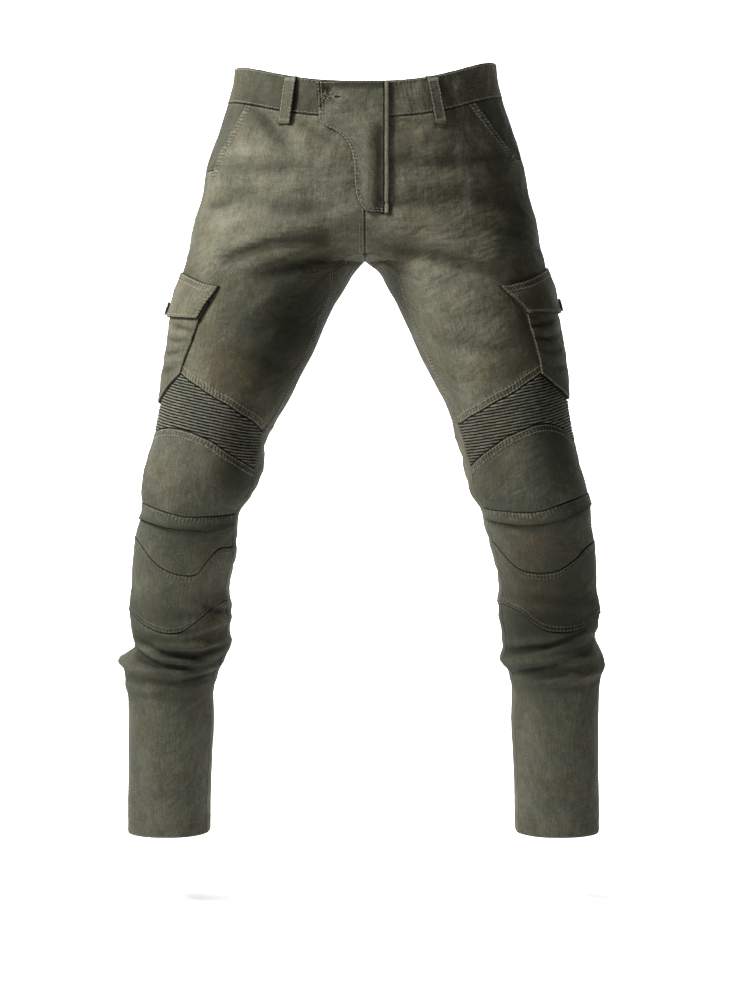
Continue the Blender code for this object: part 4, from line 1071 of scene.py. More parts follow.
class Nodes:
    """Short ways to add and join shader nodes."""

    def __init__(self, tree):
        self.tree = tree

    def add(self, kind, **settings):
        node = self.tree.nodes.new(kind)
        for name, value in settings.items():
            setattr(node, name, value)
        return node

    def plug(self, target, source):
        if isinstance(source, bpy.types.NodeSocket):
            self.tree.links.new(source, target)
        else:
            target.default_value = source

    def math(self, operation, *values, clamp=False):
        node = self.add("ShaderNodeMath", operation=operation, use_clamp=clamp)
        for target, value in zip(node.inputs, values):
            self.plug(target, value)
        return node.outputs[0]

    def times(self, first, second):
        return self.math("MULTIPLY", first, second)

    def scaled(self, value, factor, plus, clamp=False):
        return self.math("MULTIPLY_ADD", value, factor, plus, clamp=clamp)

    def mix(self, share, first, second, blend="MIX"):
        node = self.add("ShaderNodeMix", data_type="RGBA", blend_type=blend, clamp_factor=True)
        self.plug(node.inputs["Factor"], share)
        self.plug(node.inputs[6], first)
        self.plug(node.inputs[7], second)
        return node.outputs[2]

    def noise(self, vector, scale, detail=2.0, roughness=0.5):
        node = self.add("ShaderNodeTexNoise")
        self.plug(node.inputs["Vector"], vector)
        self.plug(node.inputs["Scale"], scale)
        self.plug(node.inputs["Detail"], detail)
        self.plug(node.inputs["Roughness"], roughness)
        return node.outputs["Fac"]

    def stretch(self, vector, x, y, z=1.0):
        node = self.add("ShaderNodeVectorMath", operation="MULTIPLY")
        self.plug(node.inputs[0], vector)
        node.inputs[1].default_value = (x, y, z)
        return node.outputs[0]

    def ramp(self, value, low, high, start=0.0, end=1.0):
        """Maps a value from low to high onto start to end, eased and held at both ends."""
        node = self.add("ShaderNodeMapRange", interpolation_type="SMOOTHSTEP")
        self.plug(node.inputs[0], value)
        for target, number in zip(node.inputs[1:5], (low, high, start, end)):
            self.plug(target, number)
        return node.outputs[0]


def twill_group():
    """Twill with wear: its weave, slubs, fading, the wear and puckers along its seams, and painted light
    and shade, lighter on fold ridges and darker in fold troughs and between puckers.
    """
    group = bpy.data.node_groups.new("worn_twill", "ShaderNodeTree")
    socket(group, "Cloth", "NodeSocketVector", "INPUT")
    for name in ("Run", "Pucker", "Edge", "Deep", "Worn", "Brown", "Fading"):
        socket(group, name, "NodeSocketFloat", "INPUT", {"Edge": 1.0, "Fading": 0.5}.get(name, 0.0))
    for name, value in (("Base", OLIVE), ("Faded", OLIVE_FADED), ("Dark", OLIVE_DARK)):
        socket(group, name, "NodeSocketColor", "INPUT", (*value, 1.0))
    socket(group, "Colour", "NodeSocketColor", "OUTPUT")
    socket(group, "Roughness", "NodeSocketFloat", "OUTPUT")
    socket(group, "Height", "NodeSocketFloat", "OUTPUT")
    n = Nodes(group)
    given = n.add("NodeGroupInput").outputs
    out = n.add("NodeGroupOutput").inputs
    cloth = given["Cloth"]

    warp = n.noise(n.stretch(cloth, 820, 150, 1), 1.0, 2.0, 0.6)
    weft = n.noise(n.stretch(cloth, 150, 760, 1), 1.0, 2.0, 0.6)
    grain = n.noise(cloth, 900.0, 2.0, 0.6)
    slub = n.noise(n.stretch(cloth, 420, 46, 1), 1.0, 1.0, 0.5)
    heather = n.scaled(warp, 0.24, n.times(weft, 0.16))
    heather = n.scaled(grain, 0.46, n.scaled(slub, 0.14, heather))
    blotch = n.noise(n.stretch(cloth, 24, 15, 1), 1.0, 2.0, 0.5)
    creased = n.noise(n.stretch(cloth, 38, 115, 1), 1.0, 2.0, 0.5)
    crumpled = n.noise(cloth, 120.0, 2.0, 0.5)
    tint = n.noise(cloth, 19.0, 2.0, 0.6)
    scuffed = n.noise(n.stretch(cloth, 60, 90, 1), 1.0, 3.0, 0.65)
    parts = n.add("ShaderNodeSeparateXYZ")
    n.plug(parts.inputs[0], cloth)
    slant = n.math("ADD", parts.outputs[0], n.times(parts.outputs[1], 0.62))
    rib = n.math("SINE", n.times(slant, math.tau / WEAVE_PITCH))

    wander = n.noise(n.stretch(cloth, 190, 190, 1), 1.0, 2.0, 0.6)
    phase = n.scaled(wander, 9.0, n.times(given["Run"], math.tau / PUCKER_PITCH))
    crest = n.scaled(n.math("SINE", phase), 0.5, 0.5)
    broken = n.ramp(n.noise(n.stretch(cloth, 380, 380, 1), 1.0, 2.0, 0.6), 0.40, 0.60)
    patchy = n.ramp(n.noise(cloth, 26.0, 1.0, 0.5), 0.35, 0.62, 0.45, 1.0)
    puckered = n.times(n.times(given["Pucker"], patchy), crest)
    light_thread = n.times(puckered, n.scaled(broken, 0.9, 0.10))
    # Painted shade in the dimples between the puckers
    dimple = n.times(given["Pucker"], n.math("SUBTRACT", 1.0, crest))

    rubbed = n.ramp(given["Edge"], 0.0035, 0.0006)
    rubbed = n.times(rubbed, n.scaled(broken, 0.7, 0.3))
    groove = n.ramp(given["Edge"], 0.0016, 0.0003)
    # Painted light on fold ridges and painted shade in fold troughs
    ridge = n.ramp(given["Deep"], 0.0, -0.9)
    trough = n.ramp(given["Deep"], 0.05, 1.0)

    fade = n.times(n.ramp(blotch, 0.30, 0.70, 0.20, 0.80), given["Fading"])
    fade = n.scaled(ridge, 0.22, fade)
    fade = n.scaled(light_thread, 1.0, fade)
    fade = n.scaled(rubbed, 0.50, fade)
    # Wear and painted light and shade from the cloth's marks
    fade = n.math("ADD", fade, n.times(given["Worn"], 0.8))
    fade = n.math("ADD", fade, n.scaled(scuffed, 0.50, -0.25))
    fade = n.math("ADD", fade, n.scaled(heather, 3.6, -1.8), clamp=True)
    colour = n.mix(fade, given["Base"], given["Faded"])
    # Painted shade: towards the dark tone in fold troughs, between puckers and where the marks of wear and
    # painted light fall below zero, and along the dark seam lines
    shade = n.scaled(trough, 0.50, n.times(dimple, 0.45))
    shade = n.scaled(groove, 0.85, shade)
    shade = n.math("ADD", shade, n.times(n.ramp(given["Worn"], 0.05, -1.0), 1.0), clamp=True)
    colour = n.mix(shade, colour, given["Dark"])
    brown = n.times(given["Brown"], n.ramp(tint, 0.30, 0.55))
    colour = n.mix(brown, colour, (1.10, 0.84, 0.72, 1.0), "MULTIPLY")
    colour = n.mix(n.ramp(tint, 0.50, 0.72), colour, (1.03, 0.96, 0.88, 1.0), "MULTIPLY")
    colour = n.mix(n.ramp(tint, 0.48, 0.30), colour, (0.94, 0.98, 1.02, 1.0), "MULTIPLY")
    n.plug(out["Colour"], colour)
    n.plug(out["Roughness"], n.scaled(fade, 0.08, 0.80))
    height = n.times(rib, 0.00003)
    height = n.scaled(heather, 0.00022, height)
    height = n.scaled(puckered, 0.00060, height)
    height = n.scaled(creased, 0.0020, height)
    height = n.scaled(crumpled, 0.0012, height)
    n.plug(out["Height"], height)
    return group


def new_material(name):
    """A new material, short ways to add to its nodes, and its main shader."""
    made = bpy.data.materials.new(name)
    made.use_nodes = True
    return made, Nodes(made.node_tree), made.node_tree.nodes["Principled BSDF"]


def twill(name, group, base=OLIVE, faded=OLIVE_FADED, dark=OLIVE_DARK, fading=0.5):
    """A cloth material with its own tones."""
    made, n, shader = new_material(name)
    look = n.add("ShaderNodeGroup", node_tree=group)
    cloth = n.add("ShaderNodeAttribute", attribute_name="cloth")
    n.plug(look.inputs["Cloth"], cloth.outputs["Vector"])
    for mark in ("run", "pucker", "edge", "deep", "worn", "brown"):
        read = n.add("ShaderNodeAttribute", attribute_name=mark)
        n.plug(look.inputs[mark.capitalize()], read.outputs["Fac"])
    for tone, value in (("Base", base), ("Faded", faded), ("Dark", dark)):
        look.inputs[tone].default_value = (*value, 1.0)
    look.inputs["Fading"].default_value = fading
    bump = n.add("ShaderNodeBump")
    bump.inputs["Distance"].default_value = 1.0
    bump.inputs["Strength"].default_value = 1.0
    n.plug(bump.inputs["Height"], look.outputs["Height"])
    n.plug(shader.inputs["Base Color"], look.outputs["Colour"])
    n.plug(shader.inputs["Roughness"], look.outputs["Roughness"])
    n.plug(shader.inputs["Normal"], bump.outputs["Normal"])
    shader.inputs["Specular IOR Level"].default_value = 0.06
    return made


def thread_material():
    """Cotton thread, a little lighter than the cloth, with painted shade that darkens it lower down the
    legs.
    """
    made, n, shader = new_material("thread")
    spot = n.add("ShaderNodeTexCoord").outputs["Object"]
    fine, slow = n.noise(spot, 240.0, 2.0), n.noise(spot, 14.0, 1.0)
    tone = n.times(n.ramp(fine, 0.3, 0.7), n.ramp(slow, 0.35, 0.6))
    height = n.add("ShaderNodeSeparateXYZ")
    n.plug(height.inputs[0], spot)
    colour = n.mix(tone, (*OLIVE_FADED, 1.0), (*THREAD_COLOUR, 1.0))
    # Painted shade: lower down the legs the thread is mixed towards the cloth's base colour
    low = n.ramp(height.outputs[2], -0.38, -0.60, 0.0, 0.75)
    n.plug(shader.inputs["Base Color"], n.mix(low, colour, (*OLIVE, 1.0)))
    shader.inputs["Roughness"].default_value = 0.75
    shader.inputs["Specular IOR Level"].default_value = 0.1
    return made


def metal_material():
    """Dark plated metal, rubbed to bare metal here and there."""
    made, n, shader = new_material("dark_metal")
    spot = n.add("ShaderNodeTexCoord").outputs["Object"]
    rubbed = n.ramp(n.noise(spot, 700.0, 4.0, 0.6), 0.50, 0.68)
    n.plug(shader.inputs["Base Color"], n.mix(rubbed, (*GUNMETAL, 1.0), (0.26, 0.25, 0.23, 1.0)))
    n.plug(shader.inputs["Roughness"], n.scaled(rubbed, -0.12, 0.48))
    shader.inputs["Metallic"].default_value = 0.9
    return made


def place(item, node, slot="twill"):
    """Puts a piece on the body in place of its plain solid."""
    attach(item, "root")
    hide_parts(node)


def declare(panel, turned_in=0.0):
    """Works out the width and length of a piece's cloth from its net's sizes and the width turned in at its
    sides, but does nothing with them.
    """
    width, length = float(panel.across[:, -1].max()) + turned_in, float(panel.down[-1].max())
    width, length = math.ceil(width * 1000) / 1000, math.ceil(length * 1000) / 1000


def leg_panel(name, leg):
    """A panel over part of a leg's surface."""
    rows, columns, *corner = GRIDS[name]
    share, z, row_marks, column_marks = leg_grid(leg, rows, columns)
    cells = np.ones((share.shape[0] - 1, share.shape[1] - 1), bool)
    for row, column in corner:
        cells[:row_marks[row], column_marks[column]:] = False
    panel = Panel(f"{leg}_{name}", leg, surface(leg, share, z), cells)
    # Painted shade in fold troughs and painted light on fold ridges
    panel.deep = deepness(leg, share, z)
    # Painted light and shade in slow patches over the legs
    panel.worn = patches(leg, share, z, PATCHES)
    panel.brown = patches(leg, share, z, BROWN_PATCHES)
    panel.rows, panel.columns = row_marks, column_marks
    panel.long_grain = name in ("front", "back")
    if name == "front":
        panel.marks = {"slash_row": row_marks["slash_end"], "slash_column": column_marks["pocket_edge"]}
    return panel


def sew(panel, kind, sewing):
    """Adds a panel's stitched-down strips and its rows of stitches."""
    for band in BANDS.get(kind, ()):
        panel.band(*band)
    for row in STITCH_ROWS.get(kind, ()):
        sewing.row(*panel.line(*row))


def finish_panel(panel, finish, slot="twill", turned_in=0.0):
    item = panel.build(finish)
    place(item, panel.name, slot)
    declare(panel, turned_in)


def waistband(leg, finish, sewing):
    """Half of the band. Its front is a little darker on the right and lighter on the left."""
    panel = leg_panel("waistband", leg)
    panel.depth[:] = BAND_CLOTH
    panel.cut_across = True
    at_front = smooth(-panel.points[..., 1] / 0.06)
    panel.worn -= BAND_DARKER + BAND_FRONT_DARKER[leg] * at_front
    sew(panel, "waistband", sewing)
    finish_panel(panel, finish)


def front(leg, finish, sewing):
    """The front panel, cut away along the slash pocket."""
    panel = leg_panel("front", leg)
    gap, _ = panel.edge_gap("slash")
    panel.lift += SLASH_LIP * np.exp(-((gap / 0.006) ** 2))
    sew(panel, "front", sewing)
    rise = panel.rows["rise_end"] / (panel.shape[0] - 1)
    sewing.row(*panel.line("left", 0.0020, 0.35 * rise if leg == "right" else rise))
    if leg == "right":
        sewing.row(*panel.line("left", 0.0060, 0.8 * rise, rise))
    point, normal = panel.line("slash", 0.0050)
    sewing.bartack(point[-1], point[-1] - point[-3], normal[-1], 0.0075, 0.003)
    finish_panel(panel, finish)


def back(leg, finish, sewing):
    """The back panel, which turns round the inner side of the leg below the ribbed panel's top."""
    panel = leg_panel("back", leg)
    sew(panel, "back", sewing)
    finish_panel(panel, finish)


def gusset(leg, finish, sewing):
    panel = leg_panel("gusset", leg)
    sew(panel, "gusset", sewing)
    finish_panel(panel, finish)


def pocket_facing(leg, finish):
    panel = leg_panel("pocket_facing", leg)
    # Painted shadow along the edge under the slash pocket's lip
    panel.deep += 0.8 * np.exp(-panel.across / 0.004)
    finish_panel(panel, finish, "twill_dark")


def knee(leg, finish, sewing):
    """The knee panel, a little fuller in the middle over its pad pocket."""
    panel = leg_panel("knee", leg)
    panel.depth[:] = KNEE_CLOTH
    down = np.sin(panel.down / panel.down[-1:] * math.pi)
    across = np.sin(np.clip(panel.across / panel.across[:, -1:], 0, 1) * math.pi)
    panel.lift += KNEE_FULLNESS * down * np.sqrt(across)
    sew(panel, "knee", sewing)
    finish_panel(panel, finish)


def knee_band(leg, finish, sewing):
    """The band under the knee panel, whose lower edge stands proud."""
    panel = leg_panel("knee_band", leg)
    panel.depth[:] = KNEE_CLOTH
    panel.lift += BAND_LIP * panel.down / panel.down[-1:]
    panel.worn -= 0.5 * np.exp(-((panel.down[-1:] - panel.down) / 0.0035))
    sew(panel, "knee_band", sewing)
    finish_panel(panel, finish)


def under_knee(leg, finish):
    panel = leg_panel("under_knee", leg)
    # Painted shadow just under the knee band's lower edge
    panel.deep += 0.9 * np.exp(-panel.down / 0.007)
    finish_panel(panel, finish)


def shin(leg, finish, sewing):
    panel = leg_panel("shin", leg)
    panel.depth[:] = KNEE_CLOTH
    sew(panel, "shin", sewing)
    finish_panel(panel, finish)


def lower_front(leg, finish, sewing):
    """The lower front, with the folds that bunch at the calf, down to the stitched hem."""
    panel = leg_panel("lower_front", leg)
    sew(panel, "lower_front", sewing)
    finish_panel(panel, finish)


def ribbed_panel(leg, finish):
    """The accordion panel, whose nearly level ribs are cut off by the seams above and below."""
    base = leg_panel("ribbed_panel", leg)
    rows, columns = base.shape
    lines = np.arange(-RIB_LINES * RIBS_UNDER_PEAK, RIB_LINES * RIB_COUNT + 1)
    top, foot = base.points[0], base.points[-1]
    level = RIB_FIRST_Z + RIB_SLOPE * (np.abs(top[:, 0]) - RIB_FIRST_X)
    run = base.across[0]
    line = lines[:, None]
    waver = np.sin(line / RIB_LINES * 1.9 + run * 410.0) + 0.7 * np.sin(line * 0.7 - run * 233.0)
    drop = top[:, 2] - level + line * RIB_PITCH / RIB_LINES + RIB_WAVER * waver
    parts = np.clip(drop / (top[:, 2] - foot[:, 2]), 0, 1)
    parts = np.maximum.accumulate(np.vstack([np.zeros(columns), parts, np.ones(columns)]), axis=0)
    place_in = parts * (rows - 1)
    heights = base.points[..., 2]
    levels = top[:, 2] + (foot[:, 2] - top[:, 2]) * parts
    points, normals = np.zeros((2, *parts.shape, 3))
    for i in range(columns):
        for k in range(3):
            points[:, i, k] = np.interp(-levels[:, i], -heights[:, i], base.points[:, i, k])
            normals[:, i, k] = np.interp(place_in[:, i], np.arange(rows), base.normals[:, i, k])
    free = (parts > 1e-9) & (parts < 1 - 1e-9)
    wave = np.abs(np.sin(np.concatenate([[0], lines, [0]]) / RIB_LINES * math.pi))[:, None]
    sides = smooth(np.minimum(base.across[0], base.across[0, -1] - base.across[0]) / 0.004)
    ends = smooth(np.minimum(levels[0] - levels, levels - levels[-1]) / 0.0015)
    cells = (np.diff(parts, axis=0)[:, 1:] > 1e-9) | (np.diff(parts, axis=0)[:, :-1] > 1e-9)
    panel = Panel(base.name, leg, points, cells)
    panel.normals = unit(normals)
    panel.depth[:] = KNEE_CLOTH
    crown = np.sqrt(wave) * sides * ends * (0.9 + 0.2 * np.sin(run * 517.0 + lines.mean()))
    panel.lift = RIB_HEIGHT * crown * free
    # Painted shade in the grooves between the ribs and painted light on their crests, the crests lighter
    # towards the outseam
    panel.deep = 1.0 - 2.1 * np.sqrt(wave) * np.ones_like(crown)
    light = 0.75 - 0.45 * smooth(1 - run / run[-1])
    panel.worn = np.where(wave > 0.72, (wave - 0.72) / 0.28 * light, (wave - 0.72) / 0.5)
    panel.drawn_in = lambda: points
    item = panel.build(finish)
    work = bmesh.new()
    work.from_mesh(item.data)
    bmesh.ops.remove_doubles(work, verts=work.verts, dist=1e-6)
    bmesh.ops.dissolve_degenerate(work, dist=1e-7, edges=work.edges)
    work.to_mesh(item.data)
    work.free()
    place(item, base.name, "twill_dark")
    declare(base)


def stepped(panel, rows, columns):
    """Each row's and column's place as a share, with named lines at given shares."""
    down, across = np.zeros(panel.shape[0]), np.zeros(panel.shape[1])
    for marks, wanted, out in ((panel.rows, rows, down), (panel.columns, columns, across)):
        named = list(wanted)
        for name, following in zip(named, named[1:]):
            first, last = marks[name], marks[following]
            out[first:last + 1] = wanted[name] + (wanted[following] - wanted[name]) * eased(last - first)
    return down[:, None], across[None, :]


def pocket_height(down, across):
    """How far the cargo pocket's outer face stands off the thigh."""
    fall = np.sin((BULGE_START + (1 - BULGE_START) * down) * math.pi * BULGE_END)
    bulge = np.sqrt(np.clip(fall * np.sin(across * math.pi), 0, 1))
    return POCKET_EDGE_HEIGHT + POCKET_BULGE * bulge


def cargo_pocket(leg, finish, sewing):
    """The pocket body, folded cloth on the thigh with small slanting creases."""
    panel = leg_panel("cargo_pocket", leg)
    down, across = stepped(panel, POCKET_DOWN, POCKET_ACROSS)
    panel.depth[:] = -SEAM_GAP
    gap = panel.nearest_edge()
    panel.lift = pocket_height(down, across) - 0.0009 * np.exp(-gap / 0.0018)
    creases = np.zeros(panel.shape)
    for place_down, place_across, slope, size in CREASES:
        beside = across - place_across
        away = (down - place_down + slope * beside) / CREASE_WIDTH
        creases -= size * np.exp(-(away**2)) * np.exp(-((beside / CREASE_REACH) ** 2))
    panel.lift += creases
    # Painted shade in the creases and painted light on the small ridges between them
    panel.deep += -creases / 0.0014
    sew(panel, "cargo_pocket", sewing)
    finish_panel(panel, finish)


def cargo_flap(leg, finish, sewing, metal):
    """The flap over the pocket, standing off it towards its lower edge."""
    panel = leg_panel("cargo_flap", leg)
    down, across = stepped(panel, {"flap_top": 0.0, "flap_end": 1.0}, POCKET_ACROSS)
    under = np.clip(down - 0.5, 0, 0.5) * 0.5
    stand = pocket_height(under, across) + SEAM_GAP + FLAP_STAND * down
    inner = np.where(down < 0.5, SEAM_GAP + (stand - SEAM_GAP) * smooth(down / 0.5), stand)
    panel.depth = -inner
    panel.lift = inner + FLAP_CLOTH
    corner = np.linalg.norm(panel.points - panel.points[-1, 0], axis=-1)
    panel.worn += 1.2 * np.exp(-((corner / 0.004) ** 2))
    sew(panel, "cargo_flap", sewing)
    finish_panel(panel, finish)
    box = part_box(f"{leg}_cargo_button")
    middle = (np.array(box[0]) + np.array(box[1])) / 2
    face = panel.face()
    distance = np.linalg.norm(face - middle, axis=-1)
    spot = np.unravel_index(np.argmin(distance), distance.shape)
    row, column = spot
    falling = face[min(row + 3, len(face) - 1), column] - face[row - 3, column]
    normal = unit(np.cross(face[row, column + 3] - face[row, column - 3], falling))
    normal = normal * np.sign(np.dot(normal, panel.normals[spot]))
    centre = middle - normal * (np.dot(middle - face[spot], normal) - BUTTON_THICKNESS / 2)
    button(f"{leg}_cargo_button", centre, normal, metal)


def button(name, centre, normal, finish):
    """A turned metal button with a raised rim and a low boss in the middle."""
    side = unit(np.cross(normal, (0.0, 0.0, 1.0)))
    up = np.cross(side, normal)
    turns = np.arange(BUTTON_SIDES) / BUTTON_SIDES * math.tau
    rings = []
    for out, height in BUTTON_SECTION:
        middle = centre + normal * height * BUTTON_THICKNESS
        ways = [side * math.cos(t) + up * math.sin(t) for t in (turns if out > 0 else turns[:1])]
        rings.append(middle + np.array(ways) * out * BUTTON_RADIUS)
    starts = np.cumsum([0] + [len(ring) for ring in rings])
    faces = []
    for k in range(len(rings) - 1):
        for t in range(BUTTON_SIDES):
            corners = [(k, t), (k, t + 1), (k + 1, t + 1), (k + 1, t)]
            ids = [int(starts[ring] + step % len(rings[ring])) for ring, step in corners]
            faces.append(list(dict.fromkeys(ids))[::-1])
    item = mesh_object(name + "_turned", np.concatenate(rings), faces, finish)
    face_outwards(item)
    place(item, name, "metal")


def front_point(x, z):
    """Points of the garment's front at x and z, on whichever leg's side x lies."""
    x, z = np.broadcast_arrays(np.asarray(x, float), np.asarray(z, float))
    left = surface("left", share_at("left", np.abs(x), z), z)
    right = surface("right", share_at("right", np.abs(x), z), z)
    return np.where((x >= 0)[..., None], left, right)


def front_panel_net(name, xs, zs):
    """A free net over the front."""
    panel = Panel(name, "left", front_point(xs, zs))
    outward = np.array((0.0, -1.0, 0.0))
    panel.sign = -1.0 if (panel.normals @ outward).mean() < 0 else 1.0
    panel.normals = panel.normals * panel.sign
    return panel


def fly(finish, sewing):
    """The fly flap, with a curved edge on one side, and the strip along its straight edge."""
    edge = np.array(FLY_EDGE)
    run = np.concatenate([[0], np.cumsum(np.linalg.norm(np.diff(edge, axis=0), axis=1))])
    fine = np.linspace(0, run[-1], 110)
    left, z = through(run, edge[:, 0], fine), through(run, edge[:, 1], fine)
    z = np.minimum.accumulate(z)
    share = eased(40)
    drop = np.linspace(0, 1, len(z)) ** 8 * FLY_END_DROP
    xs = left[:, None] + (FLY_STRAIGHT_X - SEAM_GAP - left[:, None]) * share
    zs = z[:, None] - drop[:, None] * share
    panel = front_panel_net("fly_flap", xs, zs)
    panel.depth[:] = -FLY_LIFT
    panel.lift[:] = FLY_LIFT + FLY_CLOTH
    length = smooth((-0.055 - zs) / 0.03)
    hollow = np.exp(-(((xs - 0.0165) / 0.007) ** 2)) * length
    swell = np.exp(-(((xs - 0.003) / 0.006) ** 2)) * length
    panel.lift += 0.0006 * swell - 0.0014 * hollow
    # Painted shade in the hollow and painted light on the swell beside it; the flap is also faded in a
    # patch
    panel.deep = 0.8 * hollow - 0.3 * swell
    faded = np.exp(-(((xs + 0.012) / 0.018) ** 2)) * smooth((-0.045 - zs) / 0.02)
    panel.worn = 0.3 * faded - 0.35 * hollow
    for blot_x, blot_z, half_width, strength in FLY_BLOTS:
        away = np.hypot(xs - blot_x, zs - blot_z) / half_width
        panel.worn -= 1.2 * strength * np.exp(-(away**2))
        panel.deep += 0.9 * strength * np.exp(-(away**2))
    panel.worn -= 0.45 * smooth((zs + 0.031) / 0.006)
    hole = np.hypot((xs - BUTTONHOLE[0]) / 0.010, (zs - BUTTONHOLE[1]) / 0.0045)
    panel.worn += 0.6 * np.exp(-((hole - 1.0) ** 2) / 0.1) * smooth((xs + 0.038) / 0.006)
    sew(panel, "fly_flap", sewing)
    finish_panel(panel, finish)
    buttonhole(panel, sewing)

    strip_share = eased(8)
    strip_x = FLY_STRAIGHT_X + FLY_STRIP_WIDTH * strip_share[None, :] + np.zeros((len(z), 1))
    strip = front_panel_net("fly_strip", strip_x, (z - drop)[:, None] + np.zeros_like(strip_x))
    strip.depth[:] = -FLY_LIFT
    strip.lift[:] = FLY_LIFT + FLY_STRIP_CLOTH
    strip.lift -= 0.0009 * (2 * strip_share[None, :] - 1) ** 4
    strip.worn += 0.3 * (1 - (2 * strip_share[None, :] - 1) ** 2)
    finish_panel(strip, finish, turned_in=FLY_STRIP_TURN)


def buttonhole(panel, sewing):
    """A slit edged with close stitches, with frayed ends of thread round it."""
    face = panel.face()
    distance = np.hypot(face[..., 0] - BUTTONHOLE[0], face[..., 2] - BUTTONHOLE[1])
    spot = np.unravel_index(np.argmin(distance), distance.shape)
    centre, normal = face[spot], panel.normals[spot]
    along = unit(np.cross(normal, (0.0, 0.0, 1.0)))
    aside = np.cross(normal, along)
    half_length, half_width = BUTTONHOLE_SIZE

    def ways_round(turns, lengthwise, crosswise):
        return np.outer(np.cos(turns) * lengthwise, along) + np.outer(np.sin(turns) * crosswise, aside)

    turns = np.arange(HOLE_STITCHES) / HOLE_STITCHES * math.tau
    around = centre + ways_round(turns, half_length, half_width * 1.4) + normal * 0.0001
    facing = np.tile(normal, (HOLE_STITCHES, 1))
    sewing.add(around, ways_round(turns, 0.4, 1.0), facing, 0.0026, THREAD * 0.8)
    seed = np.random.default_rng(7)
    count = HOLE_FRAYS
    turns = seed.uniform(0, math.tau, count)
    reach = seed.uniform(0.7, 2.4, count)
    starts = centre + ways_round(turns, half_length * reach, half_width * 2.4 * reach) + normal * 0.0003
    ways = np.outer(np.cos(turns) + seed.normal(0, 0.5, count), along)
    ways += np.outer(np.sin(turns) + seed.normal(0, 0.5, count), aside) + normal * 0.15
    sewing.add(starts, ways, np.tile(normal, (count, 1)), 0.0034, THREAD * 0.55)
    spots = np.stack([seed.normal(FRAY_MIDDLE[k], FRAY_SPREAD[k], FRAYS) for k in (0, 1)], axis=-1)
    spots = spots[(spots[:, 0] > FRAY_START_X) & (spots[:, 1] < FRAY_TOP_Z)]
    away = np.linalg.norm(face[None, ..., ::2] - spots[:, None, None, :], axis=-1)
    nearest = np.argmin(away.reshape(len(spots), -1), axis=1)
    normals = panel.normals.reshape(-1, 3)[nearest]

    def strewn(spread):
        first, second = (seed.normal(0, spread, len(spots)) for _ in range(2))
        return np.outer(first, along) + np.outer(second, aside)

    starts = face.reshape(-1, 3)[nearest] + normals * 0.0002 + strewn(0.0006)
    sewing.add(starts, strewn(1), normals, 0.0018, THREAD * 0.5)


def slit(finish):
    """The buttonhole's slot, a dark plate of painted shade seen between its stitched edges."""
    half_length, half_width = BUTTONHOLE_SIZE
    turns = np.arange(32) / 32 * math.tau
    x = BUTTONHOLE[0] + half_length * 0.9 * np.cos(turns)
    wider = 1.3 - 0.7 * np.cos(turns)
    z = BUTTONHOLE[1] + half_width * np.sin(turns) * wider + 0.06 * (x - BUTTONHOLE[0])
    rim = front_point(x, z)
    lift = FLY_LIFT + FLY_CLOTH
    points = np.concatenate([rim + (0, -lift - 0.00035, 0), rim + (0, -lift - 0.0001, 0)])
    count = len(rim)
    faces = [list(range(count)), list(range(2 * count - 1, count - 1, -1))]
    faces += [[k, k + count, (k + 1) % count + count, (k + 1) % count] for k in range(count)]
    item = mesh_object("buttonhole_slit", points, faces, finish, smoothed=False)
    face_outwards(item)
    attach(item, "root")


def loop_panel(name, points, outward):
    """A belt loop's strip over a net of points, standing off the waistband between its sewn ends."""
    panel = Panel(name, "left", points)
    panel.sign = -1.0 if (panel.normals @ outward).mean() < 0 else 1.0
    panel.normals = panel.normals * panel.sign
    part = panel.down / panel.down[-1:]
    stand = LOOP_LIFT + LOOP_STAND * np.sin(np.clip(part, 0, 1) * math.pi) ** 0.7
    panel.depth = -stand
    panel.lift = stand + LOOP_CLOTH
    return panel


def finish_loop(panel, finish, sewing):
    """Builds a belt loop with its edge stitches and bartacks."""
    sew(panel, "belt_loop", sewing)
    middle = panel.shape[1] // 2
    face = panel.face()
    for row, ahead in ((2, 5), (-3, -6)):
        along = unit(face[ahead, middle] - face[row, middle])
        start = face[row, middle] + along * 0.002
        sewing.bartack(start, along, panel.normals[row, middle], LOOP_WIDTH * 0.82)
    finish_panel(panel, finish)


def belt_loops(leg, finish, sewing):
    top_x, foot_x = FRONT_LOOP_X[leg]
    top = float(share_at(leg, top_x, WAIST_FRONT_Z))
    foot = float(share_at(leg, foot_x, WAIST_FRONT_Z - LOOP_LENGTH))
    part = np.linspace(0, 1, LOOP_ROWS)[:, None]
    across = np.linspace(-1, 1, LOOP_COLUMNS)[None, :]
    loops = (("front", top, foot), ("side", SIDE_LOOP_SHARE, SIDE_LOOP_SHARE))
    for name, start_share, end_share in loops:
        share = start_share + (end_share - start_share) * part
        z = float(waist_z(leg, start_share)) - LOOP_DROP - LOOP_LENGTH * part
        step = 1e-4
        beside = surface(leg, share + step, z, False) - surface(leg, share - step, z, False)
        spread = LOOP_WIDTH / 2 * step * 2 / np.linalg.norm(beside, axis=-1)
        points = surface(leg, share + spread * across, z + 0 * across, False)
        outward = points[0, LOOP_COLUMNS // 2] * np.array((1, 1, 0))
        finish_loop(loop_panel(f"{leg}_belt_loop_{name}", points, outward), finish, sewing)


def back_loop(finish, sewing):
    z = WAIST_BACK_Z - LOOP_DROP - LOOP_LENGTH * np.linspace(0, 1, LOOP_ROWS)
    centre = surface("left", np.ones(LOOP_ROWS), z, False)
    across = np.linspace(-1, 1, LOOP_COLUMNS)[None, :, None] * LOOP_WIDTH / 2
    points = centre[:, None, :] + across * np.array((1.0, 0, 0))
    panel = loop_panel("belt_loop_back", points, np.array((0.0, 1.0, 0.0)))
    finish_loop(panel, finish, sewing)


